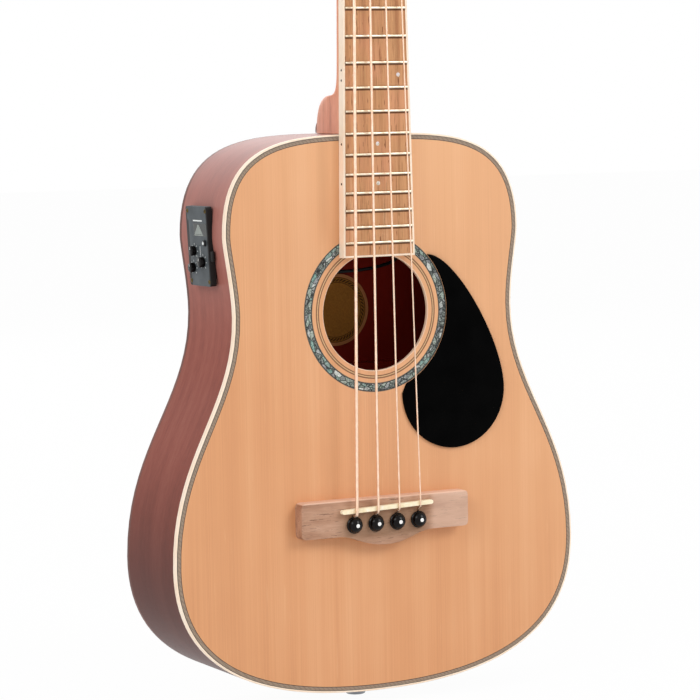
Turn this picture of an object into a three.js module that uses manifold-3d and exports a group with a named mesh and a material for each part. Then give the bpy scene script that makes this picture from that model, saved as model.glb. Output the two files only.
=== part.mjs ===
import * as THREE from 'three';
import { mergeVertices } from 'three/addons/utils/BufferGeometryUtils.js';
import Module from 'manifold-3d';

// A short-scale acoustic bass guitar with a side-mounted preamp, in millimetres.
// The guitar is drawn upright. x runs towards the treble side, y from the face of the soundboard
// into the body, and z up the neck from the line where an uncompensated saddle would stand.
// The finished guitar is then lowered so that the origin lies where a hanger's yoke carries it.

const wasm = await Module();
wasm.setup();

// Fits and cuts
const seam = 0.3;
const running = 0.3;
const overrun = 4;

// String length and frets
const scaleLength = 610;
const fretCount = 20;
const notesPerOctave = 12;
const fretWidth = 2.4;
const fretRise = 1.1;
const fretCrownShare = 0.45;

// Body outline: heights and half widths of the bouts and the waist
const bodyTop = 271.5;
const bodyTail = -141;
const upperHalf = 121.5;
const upperHeight = 199.5;
const waistHalf = 115;
const waistHeight = 142;
const lowerHalf = 166;
const lowerHeight = -37.5;
const shoulderShares = [0.52, 1.02];
const upperShares = [0.16, 0.35];
const lowerShares = [0.37, 0.46];
const tailShares = [0.85, 0.46];
const outlineSteps = [8, 3, 6, 10];

// Body depth and plates
const depthAtHeel = 75.5;
const depthAtTail = 92;
const topThickness = 2.8;
const backThickness = 2.6;
const sideThickness = 2.3;

// Edge trim
const bindingWidth = 1.5;
const bindingHeight = 4;
const purflingWidth = 3.3;
const inlayDepth = 1.2;

// Linings and blocks
const liningWidth = 6;
const liningHeight = 14;
const neckBlockHalf = 32;
const neckBlockLength = 50;
const tailBlockHalf = 34;
const tailBlockLength = 18;

// Braces
const braceWidth = 7;
const braceHeight = 12;
const xCrossHeight = 56;
const xFootShare = 0.525;
const transverseHeight = 207;
const toneBarAngle = THREE.MathUtils.degToRad(16);
const toneBars = [{ startShare: 0.12, lengthShare: 0.9 }, { startShare: 0.45, lengthShare: 0.55 }];
const backBraceHeights = [180, 92, 4, -84];
const backBraceWidth = 9;
const backStripWidth = 16;
const backStripHeight = 1.6;

// Soundhole and rosette
const holeHeight = 140.6;
const holeRadius = 43.3;
const lineRingRadii = [46.9, 49.5];
const shellRingRadii = [52.5, 59.2];
const circleSides = 36;
const roundSides = 12;

// Label on the inside of the back
const labelRadius = 27;
const labelHeight = 135;
const labelThickness = 0.4;

// Pickguard
const guardRadius = 43.2;
const guardX = 64;
const guardHeight = 79;
const guardTipAngle = THREE.MathUtils.degToRad(43);
const guardFootAngle = THREE.MathUtils.degToRad(-66);
const guardShares = [0.34, 0.36];
const guardThickness = 1.6;

// Bridge
const bridgeHalf = 69.5;
const bridgeAbove = 4.4;
const bridgeBelow = 22.3;
const bridgeBelly = 8.4;
const bridgeBellyHalf = 40;
const bridgeBellyShares = [0.62, 0.5];
const bridgeThickness = 10;
const bridgeCorner = 4;
const bridgePlateHalf = 38;
const bridgePlateAbove = 2;
const bridgePlateBelow = 36;
const bridgePlateThickness = 3;

// Saddle and the pickup under it
const saddleHalf = 38;
const saddleWidth = 3.2;
const saddleRise = 3.7;
const saddleSlotDepth = 5;
const compensationBass = 4;
const compensationTreble = 1.6;
const pickupThickness = 0.9;
const pickupLeadX = -34;

// Bridge pins
const pinHeight = -14.2;
const pinHeadRadius = 5.9;
const pinHeadRise = 6.4;
const pinShaftRadius = 3.9;
const pinTipRadius = 3.3;
const pinHoleRadius = 4.3;
const pinReach = 17;
const pinDomeSteps = 5;

// Strings, lowest first
const stringDiameters = [2.4, 1.9, 1.4, 1.1];
const stringSpreadNut = 30;
const stringSpreadSaddle = 53.4;
const stringSides = 6;
const windingTurnCount = 2.5;
const windingSteps = 24;
const windingGap = 0.5;
const ballRadius = 2.2;
const ballLength = 3;

// Nut and fretboard
const boardPastFret = 10.64;
const boardEnd = scaleLength / 2 ** (fretCount / notesPerOctave) - boardPastFret;
const boardThickness = 7.2;
const boardWidthNut = 44;
const boardWidthEnd = 59;
const boardBinding = 1.5;
const nutThickness = 5;
const nutRise = 3.2;
const nutAction = 0.6;

// Neck and heel
const neckDepthNut = 14.6;
const neckDepthBody = 17.4;
const heelHeight = 28.5;
const heelSweep = 26;
const heelKneeDepth = 40;
const heelCapHalfShare = 0.42;
const heelRoundShare = 0.36;
const heelBlendShares = [0.35, 0.1, 0.55];
const heelCapShares = [0.05, 0.57, 0.45, 0.97];
const tenonHalf = 11;
const tenonLength = 18;
const tenonDepth = 50;

// Truss rod
const rodRadius = 2.5;
const rodDepth = 7.2;
const rodTopClearance = 22;
const rodNutRadius = 4;
const rodNutLength = 17;
const rodOverlap = 8;
const wrenchRadius = 2.4;
const wrenchDepth = 7;

// Headstock
const headTilt = THREE.MathUtils.degToRad(13);
const headLength = 152;
const headThickness = 15;
const headEarHalf = 34;
const headEarHeight = 26;
const headTopHalf = 36.5;
const headCrest = 9;
const headCorner = 9;
const headCrestShare = 0.35;
const headStart = 1;

// Tuning machines
const tunerX = 20.5;
const tunerHeights = [47, 97];
const postRadius = 4.8;
const postWaistRadius = 4.2;
const postFlareRadius = 5.6;
const postRise = 20;
const postFlareLength = 4;
const postHoleRise = 13;
const bushingFlange = 8;
const bushingRise = 1.8;
const bushingWall = 1.5;
const wheelToothCount = 14;
const wheelRadius = 7;
const wheelToothDepth = 1.2;
const wheelThickness = 5;
const wormRadius = 3.2;
const wormRidgeCount = 3;
const wormRidgeDepth = 0.7;
const wormHalfLength = 7;
const keyShaftRadius = 2.4;
const keyShaftLength = 25;
const keyCollarRadius = 3.8;
const keyCollarLength = 3;
const keyButtonLength = 17;
const keyButtonHalf = 10.5;
const keyButtonThickness = 7;
const housingHalf = 9.5;
const housingWall = 2;
const housingFlange = 1.6;
const housingEar = 6;
const housingDepth = 11;

// Preamp on the bass side
const panelHeight = 192.5;
const panelDepthShare = 0.493;
const panelHalfLength = 29;
const panelHalfWidth = 18;
const panelStand = 3;
const panelThickness = 7;
const panelTilt = THREE.MathUtils.degToRad(-2.76);
const panelCorner = 2.5;
const preampHalfLength = 23.5;
const preampHalfWidth = 15.5;
const preampReach = 26;
const meterWindow = { halfLength: 4.7, halfWidth: 11.2, across: -5.5, height: 12, depth: 1 };
const knobRise = 4;
const knobCrownShare = 0.8;
const knobs = {
  volume: { radius: 3.7, across: -7.2, height: -11.3 },
  treble: { radius: 3.4, across: 6.5, height: -3.5 },
  bass: { radius: 3.4, across: 9.3, height: -15.8 },
};
const knobShaftRadius = 1.4;
const knobShaftLength = 4.4;
const tuneButton = { radius: 2.2, across: -12.4, height: 2.6, rise: 1.8, length: 6 };

// Output jack, which is also the tail strap button
const jackDepth = 44;
const jackRadius = 6;
const jackBore = 3.35;
const jackBoreDepth = 34;
const jackFlange = 9;
const jackFlangeThickness = 1.4;
const jackButtonRadius = 7.4;
const jackButtonLength = 5;
const jackWaistLength = 3.4;
const jackInside = 32;
const jackNutThickness = 3;

// Battery
const batteryLength = 48.5;
const batteryWidth = 26.5;
const batteryThickness = 17.5;
const batteryX = 60;
const batteryHeight = 224;

// Leads inside the body: where each meets the preamp, and the points along its route as shares of
// the upper half width, of the body's depth there and of the height of the body's top
const leadRadius = 1.3;
const leadSides = 6;
const leadStepsPerPoint = 2;
const leadStraight = 5;
const leadStraightShare = 0.75;
const leadSockets = {
  battery: { across: 5.2, height: 8.5 },
  pickup: { across: -6.8, height: -12.5 },
  jack: { across: 7.2, height: -17.5 },
};
const leadRouteShares = {
  battery: [[0.461, 0.759, 0.67], [0.329, 0.692, 0.634], [0, 0.653, 0.619], [-0.412, 0.629, 0.634],
    [-0.626, 0.583, 0.692]],
  pickup: [[-0.329, 0.256, 0.037], [-0.444, 0.295, 0.147], [-0.658, 0.314, 0.339], [-0.733, 0.347, 0.516],
    [-0.733, 0.389, 0.611]],
  jack: [[-0.165, 0.494, -0.357], [-0.543, 0.522, -0.331], [-0.905, 0.563, -0.221], [-0.955, 0.602, 0],
    [-0.782, 0.622, 0.258], [-0.757, 0.619, 0.516], [-0.749, 0.602, 0.611]],
};

// Colours from the photograph
const finishes = {
  spruce: { color: 0xe2a57a, roughness: 0.35 },
  mahogany: { color: 0x8a5245, roughness: 0.3 },
  innerWood: { color: 0xc9a27a, roughness: 0.8 },
  cream: { color: 0xffe9d0, roughness: 0.35 },
  purfling: { color: 0x9a8068, roughness: 0.4 },
  shell: { color: 0x8fa79c, roughness: 0.25 },
  rosewood: { color: 0xb9855f, roughness: 0.55 },
  bridgeWood: { color: 0x94705c, roughness: 0.6 },
  bone: { color: 0xf2ead2, roughness: 0.4 },
  blackGloss: { color: 0x0a0a0a, roughness: 0.12 },
  darkPlastic: { color: 0x3c423f, roughness: 0.5 },
  greyPlastic: { color: 0x9da39c, roughness: 0.5 },
  paper: { color: 0xcdb88c, roughness: 0.9 },
  steel: { color: 0x8d9094, roughness: 0.35, metalness: 1 },
  chrome: { color: 0xd4d7da, roughness: 0.12, metalness: 1 },
  bronze: { color: 0xdcae86, roughness: 0.35, metalness: 1 },
  brass: { color: 0xc9a24b, roughness: 0.3, metalness: 1 },
};

// Solids

// A closed surface with shared corners, no empty triangles and its faces turned outwards.
function weld(geometry) {
  const bare = geometry.clone();
  bare.deleteAttribute('normal');
  bare.deleteAttribute('uv');
  const merged = mergeVertices(bare, seam / 1000);
  const places = merged.attributes.position;
  const corner = (k) => new THREE.Vector3().fromBufferAttribute(places, merged.index.getX(k));
  const kept = [];
  let volume = 0;
  for (let k = 0; k < merged.index.count; k += 3) {
    const face = [0, 1, 2].map((side) => merged.index.getX(k + side));
    if (new Set(face).size < face.length) continue;
    kept.push(face);
    volume += corner(k).dot(corner(k + 1).cross(corner(k + 2)));
  }
  merged.setIndex(kept.flatMap(([a, b, c]) => (volume < 0 ? [a, c, b] : [a, b, c])));
  return merged;
}

function toSolid(geometry) {
  const closed = weld(geometry);
  const vertProperties = new Float32Array(closed.attributes.position.array);
  const triVerts = new Uint32Array(closed.index.array);
  return new wasm.Manifold(new wasm.Mesh({ numProp: 3, vertProperties, triVerts }));
}

function toGeometry(solid) {
  const { vertProperties, triVerts } = solid.getMesh();
  const geometry = new THREE.BufferGeometry();
  geometry.setAttribute('position', new THREE.BufferAttribute(vertProperties, 3));
  geometry.setIndex(new THREE.BufferAttribute(triVerts, 1));
  return geometry;
}

function combine(method, geometry, others) {
  return toGeometry(others.reduce((solid, other) => solid[method](toSolid(other)), toSolid(geometry)));
}

const cut = (geometry, ...tools) => combine('subtract', geometry, tools);
const join = (geometry, ...others) => combine('add', geometry, others);
const meet = (geometry, ...others) => combine('intersect', geometry, others);

function closedGeometry(points, triangles) {
  const geometry = new THREE.BufferGeometry();
  const places = points.flatMap((point) => point.toArray());
  geometry.setAttribute('position', new THREE.Float32BufferAttribute(places, 3));
  geometry.setIndex(triangles.flat());
  return weld(geometry);
}

// Rings with as many points each, skinned one to the next and closed with a fan at both ends.
function loft(rings) {
  const count = rings[0].length;
  const points = rings.flat();
  const triangles = [];
  for (let ring = 0; ring + 1 < rings.length; ring += 1) {
    for (let k = 0; k < count; k += 1) {
      const here = ring * count + k;
      const beside = ring * count + ((k + 1) % count);
      triangles.push([here, beside, here + count], [beside, beside + count, here + count]);
    }
  }
  for (const ring of [0, rings.length - 1]) {
    const middle = new THREE.Vector3();
    rings[ring].forEach((point) => middle.addScaledVector(point, 1 / count));
    const hub = points.push(middle) - 1;
    for (let k = 0; k < count; k += 1) {
      const here = ring * count + k;
      const beside = ring * count + ((k + 1) % count);
      triangles.push(ring ? [here, beside, hub] : [beside, here, hub]);
    }
  }
  return closedGeometry(points, triangles);
}

// A round tube along a list of points, whose radius may change from point to point.
function tube(route, radiusAt, sides) {
  const tangents = route.map((_, k) => {
    const before = route[Math.max(k - 1, 0)];
    const after = route[Math.min(k + 1, route.length - 1)];
    return after.clone().sub(before).normalize();
  });
  const across = new THREE.Vector3(1, 0, 0);
  if (Math.abs(tangents[0].x) > Math.SQRT1_2) across.set(0, 1, 0);
  const rings = route.map((point, k) => {
    across.addScaledVector(tangents[k], -across.dot(tangents[k])).normalize();
    const up = tangents[k].clone().cross(across);
    return Array.from({ length: sides }, (_, side) => {
      const angle = (side / sides) * 2 * Math.PI;
      const reach = across.clone().multiplyScalar(Math.cos(angle)).addScaledVector(up, Math.sin(angle));
      return point.clone().addScaledVector(reach, radiusAt(k));
    });
  });
  return loft(rings);
}

// A wall between two outlines in the x-z plane, from a front to a back that may vary with height.
function wall(outer, inner, frontAt, backAt, closed) {
  const corners = 4;
  const points = outer.flatMap((point, k) => [
    new THREE.Vector3(point.x, frontAt(point.y), point.y),
    new THREE.Vector3(point.x, backAt(point.y), point.y),
    new THREE.Vector3(inner[k].x, backAt(inner[k].y), inner[k].y),
    new THREE.Vector3(inner[k].x, frontAt(inner[k].y), inner[k].y),
  ]);
  const triangles = [];
  const spans = closed ? outer.length : outer.length - 1;
  for (let k = 0; k < spans; k += 1) {
    const here = k * corners;
    const next = ((k + 1) % outer.length) * corners;
    for (let side = 0; side < corners; side += 1) {
      const other = (side + 1) % corners;
      triangles.push([here + side, here + other, next + side], [here + other, next + other, next + side]);
    }
  }
  if (!closed) {
    const last = (outer.length - 1) * corners;
    triangles.push([0, 2, 1], [0, 3, 2], [last, last + 1, last + 2], [last, last + 2, last + 3]);
  }
  return closedGeometry(points, triangles);
}

// A plate whose outline lies in the x-z plane, between two depths.
function plate(shape, front, back, curveSegments = 12) {
  const settings = { depth: back - front, bevelEnabled: false, curveSegments };
  return new THREE.ExtrudeGeometry(shape, settings).rotateX(Math.PI / 2).translate(0, back, 0);
}

// A plate facing sideways, its outline drawn in y and z, from one x to another.
function sidePlate(shape, from, to, curveSegments = 3) {
  const settings = { depth: to - from, bevelEnabled: false, curveSegments };
  const geometry = new THREE.ExtrudeGeometry(shape, settings).rotateX(Math.PI / 2).rotateZ(Math.PI / 2);
  return geometry.translate(from, 0, 0);
}

function block(low, high) {
  const size = high.map((value, axis) => value - low[axis]);
  const middle = high.map((value, axis) => (value + low[axis]) / 2);
  return new THREE.BoxGeometry(...size).translate(...middle);
}

function lathe(profile, sides = roundSides) {
  return new THREE.LatheGeometry(profile.map((point) => new THREE.Vector2(...point)), sides);
}

function rod(radius, from, to, sides = roundSides) {
  return new THREE.CylinderGeometry(radius, radius, to - from, sides).translate(0, (from + to) / 2, 0);
}

// What was drawn along y is turned to run along x or z.
const alongX = (geometry) => geometry.rotateZ(-Math.PI / 2);
const alongZ = (geometry) => geometry.rotateX(Math.PI / 2);

function disc(radius, [x, z], front, back, sides = circleSides) {
  return rod(radius, front, back, sides).translate(x, 0, z);
}

// Body outline

function bezier(...points) {
  return new THREE.CubicBezierCurve(...points.map((point) => new THREE.Vector2(...point)));
}

// The treble half of the outline, from the heel down to the tail, as four curves.
function halfOutline() {
  const mix = THREE.MathUtils.lerp;
  const curves = [
    bezier([0, bodyTop], [shoulderShares[0] * upperHalf, bodyTop],
      [upperHalf, mix(upperHeight, bodyTop, shoulderShares[1])], [upperHalf, upperHeight]),
    bezier([upperHalf, upperHeight], [upperHalf, mix(upperHeight, waistHeight, upperShares[0])],
      [waistHalf, mix(waistHeight, upperHeight, upperShares[1])], [waistHalf, waistHeight]),
    bezier([waistHalf, waistHeight], [waistHalf, mix(waistHeight, lowerHeight, lowerShares[0])],
      [lowerHalf, mix(lowerHeight, waistHeight, lowerShares[1])], [lowerHalf, lowerHeight]),
    bezier([lowerHalf, lowerHeight], [lowerHalf, mix(lowerHeight, bodyTail, tailShares[0])],
      [tailShares[1] * lowerHalf, bodyTail], [0, bodyTail]),
  ];
  return curves.flatMap((curve, k) => curve.getPoints(outlineSteps[k]).slice(k ? 1 : 0));
}

const halfPoints = halfOutline();
const bassPoints = halfPoints.slice(1, -1).reverse().map((point) => new THREE.Vector2(-point.x, point.y));
const fullPoints = [...halfPoints, ...bassPoints];

// The whole outline, moved inwards everywhere by the same distance.
function outline(inset) {
  return fullPoints.map((point, k) => {
    const before = fullPoints[(k + fullPoints.length - 1) % fullPoints.length];
    const after = fullPoints[(k + 1) % fullPoints.length];
    const along = after.clone().sub(before).normalize();
    return new THREE.Vector2(point.x + along.y * inset, point.y - along.x * inset);
  });
}

function outlineHalf(inset, sign) {
  const half = outline(inset).slice(0, halfPoints.length);
  return half.map((point) => new THREE.Vector2(sign * point.x, point.y));
}

function depthAt(z) {
  return THREE.MathUtils.mapLinear(z, bodyTail, bodyTop, depthAtTail, depthAtHeel);
}

// Moves a piece that was drawn against a flat back onto the slope of the real one.
function leanBack(geometry) {
  const places = geometry.attributes.position;
  for (let k = 0; k < places.count; k += 1) {
    places.setY(k, places.getY(k) + depthAt(places.getZ(k)));
  }
  return geometry;
}

function outlinePlate(inset, front, back) {
  return plate(new THREE.Shape(outline(inset)), front, back);
}

// The space inside the body's outline at an inset, from before the face to behind the back.
function insideOutline(inset) {
  return outlinePlate(inset, -overrun, depthAtTail + overrun);
}

const liningOuter = sideThickness + seam;
const liningInner = liningOuter + liningWidth;
const braceEnds = liningInner + seam;
const topUnder = topThickness + seam;
const backInner = -backThickness - seam;
const purflingOuter = bindingWidth + seam;
const purflingInner = purflingOuter + purflingWidth;
const inlayFloor = inlayDepth + seam;
const boardFace = -boardThickness - seam;
const bridgeFace = -bridgeThickness - seam;
const plateUnder = topUnder + bridgePlateThickness;
const holeCentre = [0, holeHeight];

// Half the width of the fretboard with its binding, at a height on the neck.
function boardHalf(z) {
  return THREE.MathUtils.mapLinear(z, boardEnd, scaleLength, boardWidthEnd, boardWidthNut) / 2;
}

// The headstock's own frame: across, behind its face and up it from the nut.
const headOrigin = new THREE.Vector3(0, 0, scaleLength + nutThickness + headStart);

function headPlace(x, behind, up) {
  const place = new THREE.Vector3(x, behind, up);
  return place.applyAxisAngle(new THREE.Vector3(1, 0, 0), -headTilt).add(headOrigin);
}

function onHead(geometry) {
  return geometry.rotateX(-headTilt).translate(...headOrigin.toArray());
}

// Strings

const strings = stringDiameters.map((diameter, k) => {
  const share = k / (stringDiameters.length - 1) - 1 / 2;
  return {
    diameter,
    radius: diameter / 2,
    sign: Math.sign(share),
    pinX: share * stringSpreadSaddle,
    nutX: share * stringSpreadNut,
    row: k === 0 || k === stringDiameters.length - 1 ? 0 : 1,
    // How far in front of its pin's axis the string runs down the hole.
    offset: pinHoleRadius - running - diameter / 2,
  };
});

const saddleTop = bridgeFace - saddleRise;
const saddleMiddle = -(compensationBass + compensationTreble) / 2;
const saddleAngle = Math.atan2(compensationBass - compensationTreble, 2 * saddleHalf);
const saddleZ = (x) => saddleMiddle + x * Math.tan(saddleAngle);
const stringRest = boardFace - fretRise - nutAction;
const pinWayStartIndex = 4;

// From the ball under the bridge plate, up beside the pin and over the saddle.
function bridgeRoute({ pinX, radius, offset }) {
  const z = pinHeight + offset;
  const ballDepth = plateUnder + seam + ballRadius;
  const ballStart = z + ballRadius + ballLength;
  const exit = new THREE.Vector3(pinX, bridgeFace / 2, z);
  const corner = new THREE.Vector3(pinX, saddleTop, saddleZ(pinX) - saddleWidth / 2);
  const fall = exit.clone().sub(corner).normalize();
  const clear = radius + seam;
  return [
    new THREE.Vector3(pinX, ballDepth, ballStart + ballLength),
    new THREE.Vector3(pinX, ballDepth, ballStart),
    new THREE.Vector3(pinX, ballDepth, ballStart - seam),
    new THREE.Vector3(pinX, ballDepth, z + ballRadius),
    new THREE.Vector3(pinX, ballDepth - ballRadius / 2, z + ballRadius / 4),
    new THREE.Vector3(pinX, plateUnder, z),
    exit,
    corner.clone().add(new THREE.Vector3(0, fall.z, -fall.y).multiplyScalar(clear)),
    corner.clone().add(new THREE.Vector3(0, -clear, 0)),
    corner.clone().add(new THREE.Vector3(0, -clear, saddleWidth)),
  ];
}

// Over the nut, to the inner side of the post, round it and into its hole.
function windingRoute({ nutX, radius, diameter, sign, row }) {
  const reach = postWaistRadius + running + radius;
  const climb = windingGap + diameter;
  const start = sign > 0 ? Math.PI : 0;
  const steps = windingSteps * windingTurnCount;
  const points = [];
  for (let k = 0; k <= steps; k += 1) {
    const turned = k / windingSteps;
    const angle = start - sign * turned * 2 * Math.PI;
    const rise = postHoleRise - climb * (windingTurnCount - turned);
    const x = sign * tunerX + reach * Math.cos(angle);
    points.push(headPlace(x, -rise, tunerHeights[row] + reach * Math.sin(angle)));
  }
  const y = stringRest - radius;
  const nutStart = new THREE.Vector3(nutX, y, scaleLength + seam);
  const nutEnd = new THREE.Vector3(nutX, y, scaleLength + nutThickness);
  const insideHole = headPlace(sign * (tunerX + postWaistRadius / 2), -postHoleRise, tunerHeights[row]);
  return { nutStart, nutEnd, points, insideHole };
}

function stringRoute(string) {
  const { nutStart, nutEnd, points, insideHole } = windingRoute(string);
  return [...bridgeRoute(string), nutStart, nutEnd, ...points, insideHole];
}

// The smallest clear distance between two places of a winding at least half a turn apart.
function leastGap({ points, insideHole }, diameter) {
  const route = [...points, insideHole];
  let least = Infinity;
  for (let a = 0; a < route.length; a += 1) {
    for (let b = a + windingSteps / 2; b < route.length; b += 1) {
      least = Math.min(least, route[a].distanceTo(route[b]) - diameter);
    }
  }
  return least;
}

function makeString(string) {
  const ballPoints = 2;
  return tube(stringRoute(string), (k) => (k < ballPoints ? ballRadius : string.radius), stringSides);
}

// Room for the string from under the bridge plate up to the saddle.
function stringWay(string) {
  return tube(bridgeRoute(string).slice(pinWayStartIndex), () => string.radius + running, stringSides);
}

// Soundbox

const pinHoles = strings.map(({ pinX }) => disc(pinHoleRadius, [pinX, pinHeight], bridgeFace - overrun,
  plateUnder + overrun, roundSides));
const pickupLeadWay = disc(leadRadius + running, [pickupLeadX, saddleZ(pickupLeadX)],
  bridgeFace + saddleSlotDepth - seam, plateUnder + overrun, 8);
const jackWay = alongZ(rod(jackRadius + running, bodyTail - overrun, bodyTail + jackInside))
  .translate(0, jackDepth, 0);
const tenonWay = block([-tenonHalf - seam, -overrun, bodyTop - tenonLength - seam],
  [tenonHalf + seam, tenonDepth + seam, bodyTop + overrun]);

function ring([inner, outer], front, back) {
  return cut(disc(outer, holeCentre, front, back), disc(inner, holeCentre, front - overrun, back + overrun));
}

function makeSoundboard() {
  const lower = outlinePlate(purflingOuter, inlayFloor, topThickness);
  const upper = outlinePlate(purflingInner + seam, 0, inlayFloor + seam);
  const channels = [lineRingRadii, shellRingRadii].map(([inner, outer]) => ring([inner - seam, outer + seam],
    -overrun, inlayFloor));
  const hole = disc(holeRadius, holeCentre, -overrun, topThickness + overrun);
  return cut(join(lower, upper), hole, ...channels, ...pinHoles, pickupLeadWay);
}

function makeSide(sign) {
  const strip = wall(outlineHalf(0, sign), outlineHalf(sideThickness, sign),
    () => bindingHeight + seam, (z) => depthAt(z) - bindingHeight - seam, false);
  const parting = block([-seam / 2, -overrun, bodyTail - overrun],
    [seam / 2, depthAtTail + overrun, bodyTop + overrun]);
  return cut(strip, parting, tenonWay, jackWay);
}

function makeTrim(inset, width, frontAt, backAt) {
  return wall(outline(inset), outline(inset + width), frontAt, backAt, true);
}

function liningTop(clearance) {
  return makeTrim(liningOuter - clearance, liningWidth + 2 * clearance, () => topUnder - clearance,
    () => topUnder + liningHeight + clearance);
}

function liningBack(clearance) {
  return makeTrim(liningOuter - clearance, liningWidth + 2 * clearance,
    (z) => depthAt(z) + backInner - liningHeight - clearance, (z) => depthAt(z) + backInner + clearance);
}

// Everything behind the inner face of the back, over a range of heights.
function behindBack(low, high) {
  return leanBack(block([-lowerHalf, backInner, low - overrun], [lowerHalf, depthAtTail, high + overrun]));
}

// The blocks are notched over the linings, which run on past them.
function makeNeckBlock() {
  const low = bodyTop - liningOuter - neckBlockLength;
  const whole = block([-neckBlockHalf, topUnder, low], [neckBlockHalf, depthAtTail, bodyTop]);
  const rodWay = block([-rodNutRadius - running, -overrun, low - overrun],
    [rodNutRadius + running, rodDepth + rodNutRadius + running, bodyTop]);
  return cut(meet(whole, insideOutline(liningOuter)), behindBack(low, bodyTop), tenonWay, rodWay,
    liningTop(seam), liningBack(seam));
}

function makeTailBlock() {
  const high = bodyTail + liningOuter + tailBlockLength;
  const whole = block([-tailBlockHalf, topUnder, bodyTail], [tailBlockHalf, depthAtTail + overrun, high]);
  return cut(meet(whole, insideOutline(liningOuter)), behindBack(bodyTail, high), jackWay,
    liningTop(seam), liningBack(seam));
}

// A brace under the top: a bar along x, turned in the top's plane about its middle.
function brace(length, angle, x, z) {
  const bar = block([-length / 2, topUnder, -braceWidth / 2],
    [length / 2, topUnder + braceHeight, braceWidth / 2]);
  return bar.rotateY(angle).translate(x, 0, z);
}

// The crossed braces, with the tone bars that run out of their bass leg.
function makeSoundboardBracing() {
  const slope = (xFootShare * lowerHalf) / (xCrossHeight - lowerHeight);
  const turn = Math.PI / 2 - Math.atan(slope);
  const arms = [-turn, turn].map((angle) => brace(4 * lowerHalf, angle, 0, xCrossHeight));
  const tones = toneBars.map(({ startShare, lengthShare }) => {
    const start = THREE.MathUtils.lerp(lowerHeight, bodyTail, startShare);
    const length = lengthShare * lowerHalf;
    const x = (start - xCrossHeight) * slope;
    return brace(length, toneBarAngle, x + (length / 2) * Math.cos(toneBarAngle),
      start - (length / 2) * Math.sin(toneBarAngle));
  });
  return meet(join(...arms, ...tones), insideOutline(braceEnds));
}

function makeTransverseBrace() {
  const half = rodNutRadius + running;
  const wrenchWay = block([-half, -overrun, transverseHeight - braceWidth],
    [half, rodDepth + half, transverseHeight + braceWidth]);
  return cut(meet(brace(2 * upperHalf, 0, 0, transverseHeight), insideOutline(braceEnds)), wrenchWay);
}

// The back's bars, joined by the strip along its centre.
function makeBackBracing() {
  const half = backBraceWidth / 2;
  const bars = backBraceHeights.map((z) => block([-lowerHalf, backInner - braceHeight, z - half],
    [lowerHalf, backInner, z + half]));
  const low = bodyTail + liningOuter + tailBlockLength + seam;
  const high = bodyTop - liningOuter - neckBlockLength - seam;
  const strip = block([-backStripWidth / 2, backInner - backStripHeight, low],
    [backStripWidth / 2, backInner, high]);
  return meet(leanBack(join(...bars, strip)), insideOutline(braceEnds));
}

function makeBridgePlate() {
  const whole = block([-bridgePlateHalf, topUnder, -bridgePlateBelow],
    [bridgePlateHalf, plateUnder, bridgePlateAbove]);
  return cut(whole, ...pinHoles, pickupLeadWay);
}

function makeLabel() {
  const back = backInner - backStripHeight - seam;
  return leanBack(disc(labelRadius, [0, labelHeight], back - labelThickness, back, 32));
}

function makePickguard() {
  const shape = new THREE.Shape();
  const edge = shellRingRadii[1] + seam;
  const tip = [edge * Math.cos(guardTipAngle), holeHeight + edge * Math.sin(guardTipAngle)];
  const right = guardX + guardRadius;
  shape.moveTo(...tip);
  shape.absarc(0, holeHeight, edge, guardTipAngle, guardFootAngle, true);
  shape.lineTo(guardX - guardRadius, guardHeight);
  shape.absarc(guardX, guardHeight, guardRadius, Math.PI, 2 * Math.PI, false);
  shape.bezierCurveTo(right, THREE.MathUtils.lerp(guardHeight, tip[1], guardShares[0]),
    THREE.MathUtils.lerp(tip[0], right, guardShares[1]), tip[1], ...tip);
  return plate(shape, -seam - guardThickness, -seam, 10);
}

// Bridge group

// A bar with round ends along the saddle's line.
function saddleBar(clearance, front, back) {
  const end = saddleWidth / 2 + clearance;
  const reach = saddleHalf - saddleWidth / 2;
  const shape = new THREE.Shape();
  shape.absarc(-reach, 0, end, Math.PI / 2, (Math.PI * 3) / 2, false);
  shape.absarc(reach, 0, end, -Math.PI / 2, Math.PI / 2, false);
  shape.closePath();
  return plate(shape, front, back, 4).rotateY(-saddleAngle).translate(0, 0, saddleMiddle);
}

function makeBridge() {
  const low = -bridgeBelow;
  const belly = bridgeBellyHalf * bridgeBellyShares[0];
  const nose = bridgeBellyHalf * bridgeBellyShares[1];
  const shape = new THREE.Shape();
  shape.moveTo(-bridgeHalf, bridgeAbove - bridgeCorner);
  shape.quadraticCurveTo(-bridgeHalf, bridgeAbove, -bridgeHalf + bridgeCorner, bridgeAbove);
  shape.lineTo(bridgeHalf - bridgeCorner, bridgeAbove);
  shape.quadraticCurveTo(bridgeHalf, bridgeAbove, bridgeHalf, bridgeAbove - bridgeCorner);
  shape.lineTo(bridgeHalf, low + bridgeCorner);
  shape.quadraticCurveTo(bridgeHalf, low, bridgeHalf - bridgeCorner, low);
  shape.lineTo(bridgeBellyHalf, low);
  shape.bezierCurveTo(belly, low, nose, low - bridgeBelly, 0, low - bridgeBelly);
  shape.bezierCurveTo(-nose, low - bridgeBelly, -belly, low, -bridgeBellyHalf, low);
  shape.lineTo(-bridgeHalf + bridgeCorner, low);
  shape.quadraticCurveTo(-bridgeHalf, low, -bridgeHalf, low + bridgeCorner);
  shape.closePath();
  const slot = saddleBar(seam, bridgeFace - overrun, bridgeFace + saddleSlotDepth);
  return cut(plate(shape, bridgeFace, -seam, 5), slot, ...pinHoles, ...strings.map(stringWay), pickupLeadWay);
}

const pickupBack = bridgeFace + saddleSlotDepth - seam;
const saddleBack = pickupBack - pickupThickness - seam;

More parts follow.
